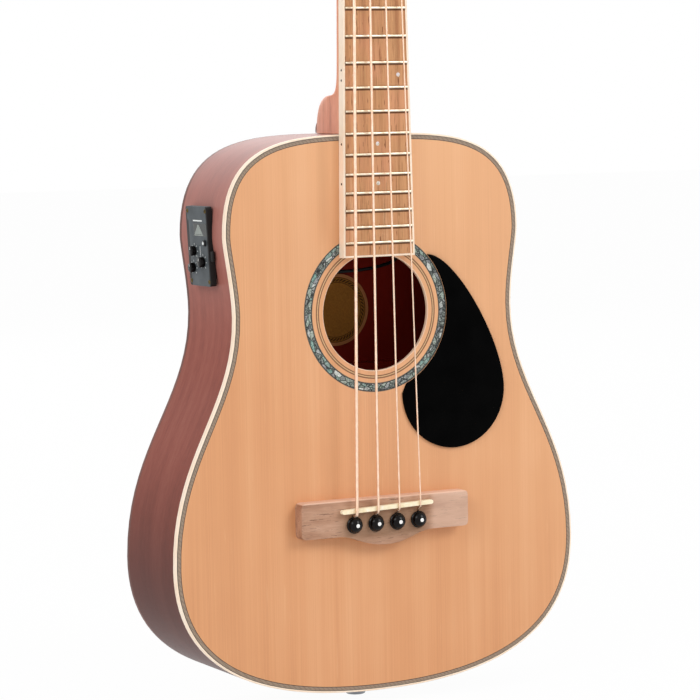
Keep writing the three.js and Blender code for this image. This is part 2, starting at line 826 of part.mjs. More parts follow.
function makePin(string) {
  const top = bridgeFace - seam;
  const profile = [[0, pinReach], [pinTipRadius, pinReach], [pinShaftRadius, bridgeFace],
    [pinShaftRadius, top], [pinHeadRadius, top]];
  for (let k = 1; k < pinDomeSteps; k += 1) {
    const angle = (k / pinDomeSteps) * (Math.PI / 2);
    profile.push([pinHeadRadius * Math.cos(angle), top - pinHeadRise * Math.sin(angle)]);
  }
  profile.push([0, top - pinHeadRise]);
  const groove = block([-string.radius - running, bridgeFace, string.offset - string.radius - running],
    [string.radius + running, pinReach + overrun, pinHeadRadius]);
  const placed = cut(lathe(profile), groove).translate(string.pinX, 0, pinHeight);
  return cut(placed, stringWay(string));
}

// Neck

const heelStart = bodyTop + heelHeight + heelSweep;

function neckDepth(z) {
  return THREE.MathUtils.mapLinear(z, heelStart, scaleLength, neckDepthBody, neckDepthNut);
}

// The underside of the heel in the y-z plane, from the shaft round to the heel's flat end.
function heelStations() {
  const mix = THREE.MathUtils.lerp;
  const knee = bodyTop + heelHeight;
  const base = bodyTop + seam;
  const cap = depthAtHeel - seam;
  const [startShare, kneeShare, depthShare] = heelBlendShares;
  const [slopeShare, riseShare, capShare, endShare] = heelCapShares;
  const blend = bezier([heelStart, neckDepthBody], [mix(knee, heelStart, startShare), neckDepthBody],
    [mix(knee, heelStart, kneeShare), mix(neckDepthBody, heelKneeDepth, depthShare)], [knee, heelKneeDepth]);
  const round = bezier([knee, heelKneeDepth],
    [mix(knee, base, slopeShare), mix(heelKneeDepth, cap, riseShare)],
    [mix(knee, base, capShare), mix(heelKneeDepth, cap, endShare)], [base, cap]);
  const stations = [...blend.getPoints(5), ...round.getPoints(7).slice(1)];
  return stations.map((point) => ({ z: point.x, depth: point.y }));
}

// One ring of the neck: flat on top and round below, squarer and tapered where it is heel.
function neckRing({ z, depth }) {
  const arcSteps = 10;
  const heel = THREE.MathUtils.clamp((depth - neckDepthBody) / (depthAtHeel - neckDepthBody), 0, 1);
  const power = THREE.MathUtils.lerp(1, heelRoundShare, Math.sqrt(heel));
  const half = boardHalf(z) - seam;
  return Array.from({ length: arcSteps + 1 }, (_, k) => {
    const angle = THREE.MathUtils.lerp(-Math.PI / 2, Math.PI / 2, k / arcSteps);
    const down = k === 0 || k === arcSteps ? 0 : Math.cos(angle) ** power;
    const side = Math.sign(angle) * Math.abs(Math.sin(angle)) ** power;
    const narrow = 1 - (1 - heelCapHalfShare) * heel * down;
    return new THREE.Vector3(half * side * narrow, depth * down, z);
  });
}

function headShape() {
  const half = boardWidthNut / 2 - seam;
  const top = headLength - headCrest;
  const corner = headTopHalf - headCorner;
  const crest = headTopHalf * headCrestShare;
  const ear = headEarHeight / 2;
  const shape = new THREE.Shape();
  shape.moveTo(half, 0);
  shape.bezierCurveTo(half, ear, headEarHalf, ear, headEarHalf, headEarHeight);
  shape.lineTo(headTopHalf, top - headCorner);
  shape.quadraticCurveTo(headTopHalf, top, corner, top);
  shape.bezierCurveTo(crest, top, crest, headLength, 0, headLength);
  shape.bezierCurveTo(-crest, headLength, -crest, top, -corner, top);
  shape.quadraticCurveTo(-headTopHalf, top, -headTopHalf, top - headCorner);
  shape.lineTo(-headEarHalf, headEarHeight);
  shape.bezierCurveTo(-headEarHalf, ear, -half, ear, -half, 0);
  shape.closePath();
  return shape;
}

const tunerPlaces = [-1, 1].flatMap((sign) => tunerHeights.map((up) => ({ sign, up, x: sign * tunerX })));
const bushingBore = postRadius + running;
const bushingOuter = bushingBore + bushingWall;

function makeNeck() {
  const stations = [...heelStations().reverse(), { z: headOrigin.z, depth: neckDepth(headOrigin.z) }];
  const tenonFront = bindingHeight + seam;
  const tenon = block([-tenonHalf, tenonFront, bodyTop - tenonLength],
    [tenonHalf, tenonDepth, bodyTop + overrun]);
  const head = onHead(plate(headShape(), 0, headThickness, 4));
  const half = rodRadius + running;
  const rodWay = block([-half, -overrun, bodyTop - tenonLength - overrun],
    [half, rodDepth + half, scaleLength - rodTopClearance]);
  const holes = tunerPlaces.map(({ x, up }) => onHead(disc(bushingOuter + running, [x, up], -overrun,
    headThickness + overrun, roundSides)));
  return cut(join(loft(stations.map(neckRing)), tenon, head), rodWay, ...holes);
}

function boardShape(inset, low, high) {
  const [wide, narrow] = [boardHalf(low) - inset, boardHalf(high) - inset];
  const corners = [[-wide, low], [wide, low], [narrow, high], [-narrow, high]];
  return new THREE.Shape(corners.map((corner) => new THREE.Vector2(...corner)));
}

// A fret's crown across the board, sunk into it by the depth of the seam.
function fretCrown(z) {
  const half = fretWidth / 2;
  const profile = [[half, -seam], [half * fretCrownShare, fretRise]];
  const mirrored = profile.map(([across, rise]) => [-across, rise]).reverse();
  const shape = new THREE.Shape([...profile, ...mirrored].map((point) => new THREE.Vector2(...point)));
  const length = 2 * (boardHalf(z) - boardBinding - seam);
  const bar = new THREE.ExtrudeGeometry(shape, { depth: length, bevelEnabled: false });
  bar.translate(0, 0, -length / 2);
  return bar.rotateY(Math.PI / 2).rotateX(Math.PI).translate(0, boardFace, z);
}

function makeFretboard() {
  const low = boardEnd + boardBinding + seam;
  const wood = plate(boardShape(boardBinding + seam, low, scaleLength), boardFace, -seam);
  const heights = Array.from({ length: fretCount }, (_, k) => scaleLength / 2 ** ((k + 1) / notesPerOctave));
  return join(wood, ...heights.map(fretCrown));
}

function makeFretboardBinding() {
  const whole = plate(boardShape(0, boardEnd, scaleLength), boardFace, -seam);
  const inside = boardShape(boardBinding, boardEnd + boardBinding, scaleLength + overrun);
  return cut(whole, plate(inside, boardFace - overrun, overrun));
}

function makeNut() {
  const half = boardWidthNut / 2;
  const low = scaleLength + seam;
  const high = scaleLength + nutThickness;
  const top = boardFace - nutRise;
  const slots = strings.map(({ nutX, radius }) => {
    const room = radius + running;
    return block([nutX - room, top - overrun, low - overrun],
      [nutX + room, stringRest + running, high + overrun]);
  });
  return cut(block([-half, top, low], [half, -seam, high]), ...slots);
}

const rodEnd = bodyTop - tenonLength - seam - rodNutLength + rodOverlap;

function makeTrussRod() {
  return alongZ(rod(rodRadius, rodEnd, scaleLength - rodTopClearance - seam, 12)).translate(0, rodDepth, 0);
}

function makeTrussRodNut() {
  const low = rodEnd - rodNutLength + rodOverlap;
  const whole = alongZ(rod(rodNutRadius, low, low + rodNutLength));
  const bore = alongZ(rod(rodRadius + running, rodEnd - seam, low + rodNutLength + overrun, 12));
  const socket = alongZ(rod(wrenchRadius, low - overrun, low + wrenchDepth, 6));
  return cut(whole, bore, socket).translate(0, rodDepth, 0);
}

// Tuning machines, drawn in the headstock's frame

const housingFront = headThickness + seam;
const wheelFront = housingFront + housingFlange + running;
const wheelBack = wheelFront + wheelThickness;
const wormHeight = wheelRadius + wormRadius + running;
const wormDepth = (wheelFront + wheelBack) / 2;

// The housing behind the headstock with the bushing that is screwed into it from the front.
function makeHousing({ x, up, sign }) {
  const low = -wheelRadius - running - housingWall;
  const high = wormHeight + wormRadius + running + housingWall;
  const box = block([-housingHalf, housingFront, low], [housingHalf, housingFront + housingDepth, high]);
  const ears = block([-housingHalf + housingWall, housingFront, low - housingEar],
    [housingHalf - housingWall, housingFront + housingFlange, high + housingEar]);
  const bushing = rod(bushingOuter, -bushingRise, housingFront + housingFlange);
  const flange = rod(bushingFlange, -bushingRise, -seam);
  const bore = rod(bushingBore, -bushingRise - overrun, wheelFront);
  const wheelRoom = rod(wheelRadius + seam + running, wheelFront - running, wheelBack + running);
  const wormRoom = alongX(rod(wormRadius + running, -wormHalfLength - running, housingHalf + overrun));
  if (sign < 0) wormRoom.rotateY(Math.PI);
  wormRoom.translate(0, wormDepth, wormHeight);
  return onHead(cut(join(box, ears, bushing, flange), bore, wheelRoom, wormRoom).translate(x, 0, up));
}

function wheelShape() {
  const corners = 2 * wheelToothCount;
  return new THREE.Shape(Array.from({ length: corners }, (_, k) => {
    const angle = (k / corners) * 2 * Math.PI;
    const radius = k % 2 ? wheelRadius - wheelToothDepth : wheelRadius;
    return new THREE.Vector2(radius * Math.cos(angle), radius * Math.sin(angle));
  }));
}

const postHoleRadius = stringDiameters[0] / 2 + running;

function makePost({ x, up }) {
  const waist = -bushingRise - running;
  const flare = -postRise + postFlareLength;
  const shaft = lathe([[0, wheelFront + seam], [postRadius, wheelFront + seam], [postRadius, waist],
    [postWaistRadius, waist - seam], [postWaistRadius, flare], [postFlareRadius, -postRise + seam],
    [postFlareRadius - seam, -postRise], [0, -postRise]]);
  const wheel = plate(wheelShape(), wheelFront, wheelBack);
  const hole = alongX(rod(postHoleRadius, -postFlareRadius - overrun, postFlareRadius + overrun, 10));
  return onHead(cut(join(shaft, wheel), hole.translate(0, -postHoleRise, 0)).translate(x, 0, up));
}

function makeKey({ x, up, sign }) {
  const root = wormRadius - wormRidgeDepth;
  const pitch = (2 * wormHalfLength) / wormRidgeCount;
  const profile = [[0, -wormHalfLength], [root, -wormHalfLength]];
  for (let k = 0; k < wormRidgeCount; k += 1) {
    const start = -wormHalfLength + k * pitch;
    profile.push([root, start + pitch / 4], [wormRadius, start + pitch / 2], [root, start + (pitch * 3) / 4]);
  }
  const shaftEnd = wormHalfLength + keyShaftLength;
  const edge = keyButtonThickness / 4;
  profile.push([keyShaftRadius, wormHalfLength], [keyShaftRadius, shaftEnd - keyCollarLength],
    [keyCollarRadius, shaftEnd - keyCollarLength], [keyCollarRadius, shaftEnd + edge], [0, shaftEnd + edge]);
  const shape = new THREE.Shape();
  const middle = shaftEnd + keyButtonLength / 2;
  shape.absellipse(middle, 0, keyButtonLength / 2, keyButtonHalf, 0, 2 * Math.PI, false, 0);
  const settings = { depth: keyButtonThickness - 2 * edge, bevelThickness: edge, bevelSize: edge,
    bevelOffset: -edge, bevelSegments: 1, curveSegments: 7 };
  const button = new THREE.ExtrudeGeometry(shape, settings).rotateX(Math.PI / 2);
  button.translate(0, keyButtonThickness / 2 - edge, 0);
  const key = join(alongX(lathe(profile, 8)), button);
  if (sign < 0) key.rotateY(Math.PI);
  return onHead(key.translate(x, wormDepth, up + wormHeight));
}

// Preamp, drawn in the panel's frame: x from its face into the body, y deeper, z up

// The panel stands proud of the widest place of the side that it covers.
const covered = halfPoints.filter((point) => Math.abs(point.y - panelHeight) < panelHalfLength);
const panelX = -Math.max(...covered.map((point) => point.x)) - panelStand;
const panelOrigin = new THREE.Vector3(panelX, panelDepthShare * depthAt(panelHeight), panelHeight);

function onPanel(geometry) {
  return geometry.rotateY(panelTilt).translate(...panelOrigin.toArray());
}

function panelPlace(inwards, { across, height }) {
  const place = new THREE.Vector3(inwards, across, height);
  return place.applyAxisAngle(new THREE.Vector3(0, 1, 0), panelTilt).add(panelOrigin);
}

function panelWay(radius, { across, height }) {
  const way = alongX(rod(radius, -overrun, panelStand + knobShaftLength + overrun, 10));
  return onPanel(way.translate(0, across, height));
}

function roundedBar(halfWidth, halfLength, corner) {
  const shape = new THREE.Shape();
  shape.moveTo(-halfWidth + corner, -halfLength);
  shape.lineTo(halfWidth - corner, -halfLength);
  shape.quadraticCurveTo(halfWidth, -halfLength, halfWidth, -halfLength + corner);
  shape.lineTo(halfWidth, halfLength - corner);
  shape.quadraticCurveTo(halfWidth, halfLength, halfWidth - corner, halfLength);
  shape.lineTo(-halfWidth + corner, halfLength);
  shape.quadraticCurveTo(-halfWidth, halfLength, -halfWidth, halfLength - corner);
  shape.lineTo(-halfWidth, -halfLength + corner);
  shape.quadraticCurveTo(-halfWidth, -halfLength, -halfWidth + corner, -halfLength);
  shape.closePath();
  return shape;
}

function windowBar(clearance, from, to) {
  const { halfWidth, halfLength, across, height } = meterWindow;
  const shape = roundedBar(halfWidth + clearance, halfLength + clearance, seam);
  return onPanel(sidePlate(shape, from, to).translate(0, across, height));
}

const controlWays = [...Object.values(knobs).map((knob) => panelWay(knobShaftRadius + running, knob)),
  panelWay(tuneButton.radius + running, tuneButton)];

function makePanel() {
  const shape = roundedBar(panelHalfWidth, panelHalfLength, panelCorner);
  const windowRoom = windowBar(seam, -overrun, meterWindow.depth + seam);
  return cut(onPanel(sidePlate(shape, 0, panelThickness)), insideOutline(-seam), windowRoom, ...controlWays);
}

function preampBar(clearance, from) {
  const shape = roundedBar(preampHalfWidth + clearance, preampHalfLength + clearance, panelCorner / 2);
  return onPanel(sidePlate(shape, from, preampReach));
}

function makeKnob(knob) {
  const profile = [[0, knobShaftLength], [knobShaftRadius, knobShaftLength], [knobShaftRadius, -running],
    [knob.radius, -running], [knob.radius, -knobRise * knobCrownShare],
    [knob.radius * knobCrownShare, -knobRise], [0, -knobRise]];
  return onPanel(alongX(lathe(profile)).translate(0, knob.across, knob.height));
}

function makeTuneButton() {
  const { radius, across, height, rise, length } = tuneButton;
  const profile = [[0, length - rise], [radius, length - rise], [radius, -rise * knobCrownShare],
    [radius * knobCrownShare, -rise], [0, -rise]];
  return onPanel(alongX(lathe(profile)).translate(0, across, height));
}

// Output jack, battery and leads

function makeJack() {
  const seat = bodyTail - seam;
  const flange = seat - jackFlangeThickness;
  const waist = flange - jackWaistLength;
  const end = waist - jackButtonLength;
  const nut = bodyTail + liningOuter + tailBlockLength + seam;
  const top = bodyTail + jackInside;
  const floor = end + jackBoreDepth;
  const profile = [[jackBore, end], [jackButtonRadius - seam, end], [jackButtonRadius, end + seam],
    [jackButtonRadius, waist], [jackRadius, waist + seam], [jackRadius, flange], [jackFlange, flange],
    [jackFlange, seat], [jackRadius, seat], [jackRadius, nut], [jackFlange, nut],
    [jackFlange, nut + jackNutThickness], [jackRadius, nut + jackNutThickness], [jackRadius, top], [0, top],
    [0, floor], [jackBore, floor], [jackBore, end]];
  return alongZ(lathe(profile)).translate(0, jackDepth, 0);
}

function makeBattery() {
  const half = batteryWidth / 2;
  const low = batteryHeight - batteryLength / 2;
  return leanBack(block([batteryX - half, backInner - batteryThickness, low],
    [batteryX + half, backInner, low + batteryLength]));
}

// Where a lead leaves the piece at its far end, and the way that it points there.
const leadStarts = {
  battery: {
    place: [batteryX, depthAt(batteryHeight) + backInner - batteryThickness / 2,
      batteryHeight - batteryLength / 2 - seam],
    way: [0, 0, -1],
    stub: leadStraight,
  },
  pickup: {
    place: [pickupLeadX, pickupBack + seam, saddleZ(pickupLeadX)],
    way: [0, 1, 0],
    stub: plateUnder - pickupBack + leadStraight,
  },
  jack: { place: [0, jackDepth, bodyTail + jackInside + seam], way: [0, 0, 1], stub: leadStraight },
};

function makeLead(name) {
  const { place, way, stub } = leadStarts[name];
  const start = new THREE.Vector3(...place);
  const leaving = start.clone().addScaledVector(new THREE.Vector3(...way), stub);
  const route = leadRouteShares[name].map(([x, y, z]) => {
    const height = z * bodyTop;
    return new THREE.Vector3(x * upperHalf, y * depthAt(height), height);
  });
  const socket = leadSockets[name];
  const arriving = panelPlace(preampReach + seam + leadStraight, socket);
  const between = start.clone().lerp(leaving, leadStraightShare);
  const points = [start, between, leaving, ...route, arriving, panelPlace(preampReach + seam, socket)];
  const curve = new THREE.CatmullRomCurve3(points, false, 'centripetal');
  return tube(curve.getPoints(points.length * leadStepsPerPoint), () => leadRadius, leadSides);
}

// Assembly

const group = new THREE.Group();
const guitar = new THREE.Group();
group.add(guitar);

function addPart(name, geometry, finish) {
  const shared = weld(geometry);
  shared.computeVertexNormals();
  const mesh = new THREE.Mesh(shared, new THREE.MeshStandardMaterial(finishes[finish]));
  mesh.name = name;
  guitar.add(mesh);
}

addPart('soundboard', makeSoundboard(), 'spruce');
addPart('back_plate', leanBack(outlinePlate(purflingOuter, -backThickness, 0)), 'mahogany');
addPart('side_bass', cut(makeSide(-1), preampBar(seam, -overrun)), 'mahogany');
addPart('side_treble', makeSide(1), 'mahogany');
addPart('binding_top', makeTrim(0, bindingWidth, () => 0, () => bindingHeight), 'cream');
addPart('binding_back', makeTrim(0, bindingWidth, (z) => depthAt(z) - bindingHeight, depthAt), 'cream');
addPart('purfling_top', makeTrim(purflingOuter, purflingWidth, () => 0, () => inlayDepth), 'purfling');
addPart('rosette_shell_ring', ring(shellRingRadii, 0, inlayDepth), 'shell');
addPart('rosette_line_ring', ring(lineRingRadii, 0, inlayDepth), 'purfling');
addPart('neck_block', makeNeckBlock(), 'innerWood');
addPart('tail_block', makeTailBlock(), 'innerWood');
addPart('lining_top', cut(liningTop(0), tenonWay), 'innerWood');
addPart('lining_back', liningBack(0), 'innerWood');
addPart('soundboard_bracing', makeSoundboardBracing(), 'innerWood');
addPart('transverse_brace', makeTransverseBrace(), 'innerWood');
addPart('back_bracing', makeBackBracing(), 'innerWood');
addPart('bridge_plate', makeBridgePlate(), 'innerWood');
addPart('paper_label', makeLabel(), 'paper');
addPart('pickguard', makePickguard(), 'blackGloss');
addPart('bridge', makeBridge(), 'bridgeWood');
addPart('saddle', saddleBar(0, saddleTop, saddleBack), 'bone');
addPart('saddle_pickup', saddleBar(0, pickupBack - pickupThickness, pickupBack), 'brass');
strings.forEach((string, k) => addPart(`bridge_pin_${k + 1}`, makePin(string), 'blackGloss'));
addPart('neck', makeNeck(), 'mahogany');
addPart('fretboard', makeFretboard(), 'rosewood');
addPart('fretboard_binding', makeFretboardBinding(), 'cream');
addPart('nut', makeNut(), 'bone');
addPart('truss_rod', makeTrussRod(), 'steel');
addPart('truss_rod_nut', makeTrussRodNut(), 'steel');
tunerPlaces.forEach((place, k) => addPart(`tuner_housing_${k + 1}`, makeHousing(place), 'chrome'));
tunerPlaces.forEach((place, k) => addPart(`tuner_post_${k + 1}`, makePost(place), 'chrome'));
tunerPlaces.forEach((place, k) => addPart(`tuner_key_${k + 1}`, makeKey(place), 'chrome'));
strings.forEach((string, k) => addPart(`string_${k + 1}`, makeString(string), 'bronze'));
addPart('preamp_panel', makePanel(), 'darkPlastic');
addPart('preamp_box', cut(meet(preampBar(0, 0), insideOutline(0)), ...controlWays), 'darkPlastic');
addPart('meter_window', windowBar(0, 0, meterWindow.depth), 'greyPlastic');
for (const [name, knob] of Object.entries(knobs)) addPart(`knob_${name}`, makeKnob(knob), 'blackGloss');
addPart('tune_button', makeTuneButton(), 'greyPlastic');
addPart('output_jack', makeJack(), 'steel');
addPart('battery', makeBattery(), 'steel');
for (const name of Object.keys(leadStarts)) addPart(`${name}_lead`, makeLead(name), 'blackGloss');

strings.forEach((string, k) => {
  const gap = leastGap(windingRoute(string), string.diameter);
  console.log(`string ${k + 1}: least gap of its winding to itself ${gap.toFixed(2)} mm`);
});

// A hanger's arms carry the headstock just above the nut, where it widens.
const hangerHeight = headPlace(0, 0, headEarHeight / 2).z;
guitar.position.set(0, 0, -hangerHeight);
console.log(`hanger height above the saddle line ${hangerHeight.toFixed(2)} mm`);

export default group;
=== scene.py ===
import math

import bmesh
import bpy
from mathutils import Matrix, Vector
from mathutils.geometry import interpolate_bezier


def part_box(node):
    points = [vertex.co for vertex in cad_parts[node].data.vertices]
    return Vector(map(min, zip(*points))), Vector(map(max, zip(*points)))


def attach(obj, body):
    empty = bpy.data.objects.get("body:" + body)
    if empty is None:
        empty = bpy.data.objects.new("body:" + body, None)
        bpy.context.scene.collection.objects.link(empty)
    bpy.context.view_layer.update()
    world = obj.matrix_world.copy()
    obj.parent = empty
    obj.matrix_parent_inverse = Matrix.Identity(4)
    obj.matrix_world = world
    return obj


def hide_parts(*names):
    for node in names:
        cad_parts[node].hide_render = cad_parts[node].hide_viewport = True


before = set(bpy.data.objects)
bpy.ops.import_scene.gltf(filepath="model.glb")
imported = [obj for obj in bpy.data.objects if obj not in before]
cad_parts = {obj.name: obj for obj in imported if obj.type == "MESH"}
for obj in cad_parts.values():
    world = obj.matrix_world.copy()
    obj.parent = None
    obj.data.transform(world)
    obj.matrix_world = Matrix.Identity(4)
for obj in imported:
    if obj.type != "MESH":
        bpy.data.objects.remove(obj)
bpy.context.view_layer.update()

scene = bpy.context.scene
scene.view_settings.view_transform = "Standard"

# Sizes are drawn in millimetres from the saddle line, across, into the body and up, and moved into
# the shared frame when a piece is finished.
SCALE = 610.0  # the frets' scale, up to the fretboard's end
NUT_UP = 610.3
BOARD_LOW = 181.5  # the fretboard's end over the soundhole
HOLE_UP, HOLE_RADIUS = 140.6, 43.3
BODY_UP, BODY_HALF = 271.5, 121.5  # the upper end of the body, and half its upper width
TOP_THICK, SIDE_THICK, BACK_THICK = 2.8, 2.3, 2.6
BACK_DEPTH, BACK_SLOPE = 86.36, 0.04  # the back at the saddle line, and what it loses going up
LABEL_MIDDLE = (6.0, 137.5)
PANEL_MIDDLE = (-124.5, 38.78, 192.5)
SADDLE_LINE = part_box("nut")[0].z - NUT_UP / 1000


def moved(x, y, z):
    return Matrix.Translation((x, y, z))


def spun(degrees, axis):
    return Matrix.Rotation(math.radians(degrees), 4, axis)


TO_FRAME = moved(0, 0, SADDLE_LINE) @ Matrix.Scale(0.001, 4)

camera = bpy.data.objects.new("camera", bpy.data.cameras.new("camera"))
scene.collection.objects.link(camera)
camera.location = (-1.0239597, -1.93497752, -0.32884832)
camera.rotation_euler = [math.radians(angle) for angle in (85.114368, 1.086549, -27.468793)]
camera.data.lens = 153.42
camera.data.sensor_width = 36
scene.camera = camera


# Finishes

def paint(code):
    """A colour written as in #ecb185, as the shader's linear numbers."""
    shares = [int(code[k:k + 2], 16) / 255 for k in (1, 3, 5)]
    return [s / 12.92 if s <= 0.04045 else ((s + 0.055) / 1.055) ** 2.4 for s in shares] + [1.0]


class Signal:
    """A shader socket that can be used in sums."""

    def __init__(self, finish, socket):
        self.finish = finish
        self.socket = socket

    def math(self, operation, *others, first=None):
        """A Math node on this value, with others after it or one before it."""
        values = (self, *others) if first is None else (first, self)
        return self.finish.node("Math", {"operation": operation}, dict(enumerate(values)))

    def __add__(self, other):
        return self.math("ADD", other)

    def __sub__(self, other):
        return self.math("SUBTRACT", other)

    def __rsub__(self, other):
        return self.math("SUBTRACT", first=other)

    def __mul__(self, other):
        return self.math("MULTIPLY", other)

    def __rtruediv__(self, other):
        return self.math("DIVIDE", first=other)

    def __rpow__(self, other):
        return self.math("POWER", first=other)

    def __abs__(self):
        return self.math("ABSOLUTE")

    __radd__ = __add__
    __rmul__ = __mul__


class Finish:
    """One material, with its place on the guitar in millimetres as x, y and z."""

    def __init__(self, name, gloss, **constants):
        self.material = bpy.data.materials.new(name)
        self.material.use_nodes = True
        self.tree = self.material.node_tree
        self.shader = self.tree.nodes["Principled BSDF"]
        self.wear(Specular_IOR_Level=gloss, **constants)
        bare = self.node("TexCoord", {}, {}, "Object")
        self.place = self.node("Mapping", {}, {
            "Vector": bare, "Location": (0, 0, -SADDLE_LINE * 1000), "Scale": (1000, 1000, 1000)})
        self.x, self.y, self.z = (self.node("SeparateXYZ", {}, {0: self.place}, k) for k in range(3))

    def node(self, kind, settings, sockets, output=0):
        """Adds a node, sets it up, joins or fills its sockets and gives one of its outputs."""
        made = self.tree.nodes.new("ShaderNode" + kind)
        for name, value in settings.items():
            if name != "stops":
                setattr(made, name, value)
        stops = settings.get("stops", [])
        for at, _ in stops[2:]:
            made.color_ramp.elements.new(at)
        for element, (at, code) in zip(made.color_ramp.elements if stops else [], stops):
            element.position = at
            element.color = paint(code)
        for key, value in sockets.items():
            self.fill(self.pick(made.inputs, key), value)
        return Signal(self, self.pick(made.outputs, output))

    @staticmethod
    def pick(sockets, key):
        if isinstance(key, int):
            return sockets[key]
        return next(s for s in sockets if s.enabled and key in (s.name, s.identifier))

    def fill(self, socket, value):
        """Sets a socket to a signal, a number or a colour's code."""
        if isinstance(value, Signal):
            self.tree.links.new(value.socket, socket)
        else:
            socket.default_value = paint(value) if isinstance(value, str) else value

    def joined(self, x, y, z):
        return self.node("CombineXYZ", {}, {0: x, 1: y, 2: z})

    def noise(self, scale, detail=3.0, roughness=0.5):
        """Noise stretched over the place on the guitar, or over three signals of its own."""
        scale = scale if isinstance(scale, tuple) else (scale,) * 3
        if isinstance(scale[0], Signal):
            where = self.joined(*scale)
        else:
            where = self.node("Mapping", {}, {"Vector": self.place, "Scale": scale})
        return self.node("TexNoise", {}, {
            "Vector": where, "Scale": 1.0, "Detail": detail, "Roughness": roughness})

    def ramp(self, value, *stops):
        return self.node("ValToRGB", {"stops": list(stops)}, {0: value})

    def mix(self, a, b, factor):
        return self.node("Mix", {"data_type": "RGBA"}, {
            "Factor_Float": factor, "A_Color": a, "B_Color": b}, "Result_Color")

    def over(self, base, *glazes):
        """A colour with others over it, each with its share."""
        for colour, share in glazes:
            base = self.mix(base, colour, share)
        return base

    def rise(self, value, low, high):
        return self.node("MapRange", {"interpolation_type": "SMOOTHSTEP"}, {
            "Value": value, "From Min": low, "From Max": high, "To Min": 0.0, "To Max": 1.0})

    def band(self, value, low, high, soft=0.1):
        return self.rise(value, low - soft, low + soft) * (1 - self.rise(value, high - soft, high + soft))

    def layer(self, name):
        return self.node("Attribute", {"attribute_name": name}, {}, "Fac")

    def round_place(self, across, up):
        """How far a point is from a middle, and its turn round it."""
        x, z = self.x - across, self.z - up
        return (x * x + z * z).math("SQRT"), z.math("ARCTAN2", x)

    def wear(self, **values):
        """Gives the shader its colour, roughness and so on, each a number or a signal."""
        for name, value in values.items():
            self.fill(self.shader.inputs[name.replace("_", " ")], value)
        return self

    def bump(self, height, distance, strength):
        normal = self.node("Bump", {}, {
            "Height": height, "Distance": distance, "Strength": strength}, "Normal")
        return self.wear(Normal=normal)


def finished(gloss=0.5, **constants):
    """Makes the finish that the function under it describes, by that function's name."""
    def make(describe):
        made = Finish(describe.__name__, gloss, **constants)
        describe(made)
        return made
    return make


@finished(0.35)
def spruce(f):
    fine = f.noise((1.15, 0.3, 0.004), 4.0, 0.6)
    broad = f.noise((0.045, 0.02, 0.0016))
    cloud = f.noise((0.012, 0.012, 0.009), 2.0)
    fleck = f.rise(f.noise((0.55, 0.3, 0.022), 2.0), 0.66, 0.74)
    base = f.ramp(fine * 0.32 + broad * 0.42 + cloud * 0.26,
                  (0.3, "#cf9063"), (0.5, "#dd9f70"), (0.7, "#e8b083"))
    lines = f.rise(f.noise((1.9, 0.4, 0.003), 2.0), 0.5, 0.68)
    # Painted shade: a darker band on the top just beside the fretboard's bass edge.
    board_shade = f.band(f.x, -46.0, -37.0, 4.0) * f.rise(f.z, 175.0, 215.0)
    reach, _ = f.round_place(0, HOLE_UP)
    # Painted light: the #f7c598 share makes the top lighter towards its upper right.
    base = f.over(base, ("#c48557", lines * 0.14), ("#efc297", fleck * 0.2), ("#b97c4e", board_shade * 0.45),
                  ("#f7c598", f.rise(f.z + f.x * 0.8, -60.0, 330.0) * 0.34),
                  ("#f2cdb0", 1 - f.rise(reach, HOLE_RADIUS + 0.4, HOLE_RADIUS + 0.7)))
    f.wear(Base_Color=base, Roughness=0.3 + fine * 0.12).bump(fine, 0.00004, 0.5)


def mahogany(f, along, across, through, dark, mid, light, painted_shade=0.0):
    """Wears mahogany whose grain runs along the first direction, and gives its colour."""
    pores = f.noise((along * 0.035, across * 1.5, through * 1.5), 3.0, 0.6)
    ribbon = f.noise((along * 0.004, across * 0.07, through * 0.07), 2.0)
    fleck = f.noise((along * 0.12, across * 0.5, through * 0.5), 2.0)
    base = f.ramp(ribbon * 0.55 + fleck * 0.25 + pores * 0.2, (0.32, dark), (0.5, mid), (0.7, light))
    streak = f.rise(pores, 0.6, 0.7)
    # The last share mixes in #3f211c as painted shade.
    base = f.over(base, (dark, streak * 0.35), ("#3f211c", painted_shade))
    f.wear(Base_Color=base, Roughness=0.3 + pores * 0.12).bump(streak, 0.00003, 0.6)
    return base


@finished(0.07, Coat_Roughness=0.6)
def side_mahogany(f):
    """A painted highlight near the heel, and painted shade darkening it towards the tail."""
    way = f.layer("along")
    # Painted shade: this share darkens the wood towards the tail.
    low = f.rise(way, 120.0, 310.0) * 0.2 + f.rise(way, 310.0, 455.0) * 0.62
    wood = mahogany(f, way, f.y, f.x * 0.1, "#86463a", "#9d5446", "#ad6555", low)
    # Painted highlight: the wood is mixed paler near the heel.
    heel_highlight = f.mix(wood, "#c99a92", 0.32 - f.rise(way, 130.0, 270.0) * 0.32)
    f.wear(Base_Color=heel_highlight, Coat_Weight=0.34 - f.rise(way, 90.0, 300.0) * 0.34)


@finished(0.15)
def edge_wood(f):
    mahogany(f, f.z, f.x, f.y, "#552b21", "#703e32", "#834d40")


@finished(0.12, Coat_Roughness=0.15)
def neck_mahogany(f):
    mahogany(f, f.z, f.x, f.y, "#bb6a4b", "#e6946f", "#f3ab88")


@finished(0.15, Coat_Weight=0.12, Coat_Roughness=0.12)
def back_mahogany(f):
    """Two mirrored halves with a pale line between them outside, and, inside the box, the wood darkened to a
    deep red as painted shade.
    """
    aside = abs(f.x)
    wood = mahogany(f, f.z, aside, f.y, "#6b3a30", "#8d5044", "#a2665a")
    seam = f.mix(wood, "#e3c79c", f.band(aside, -1.0, 1.2))
    outside = f.mix(seam, "#2c1611", f.band(aside, 1.2, 1.7))
    # Painted shade: the back's inner face is mixed almost wholly to a dark red.
    inside = f.mix(wood, "#8f1d0d", 0.93)
    f.wear(Base_Color=f.mix(inside, outside, f.rise(f.y + f.z * BACK_SLOPE, 84.6, 85.2)))


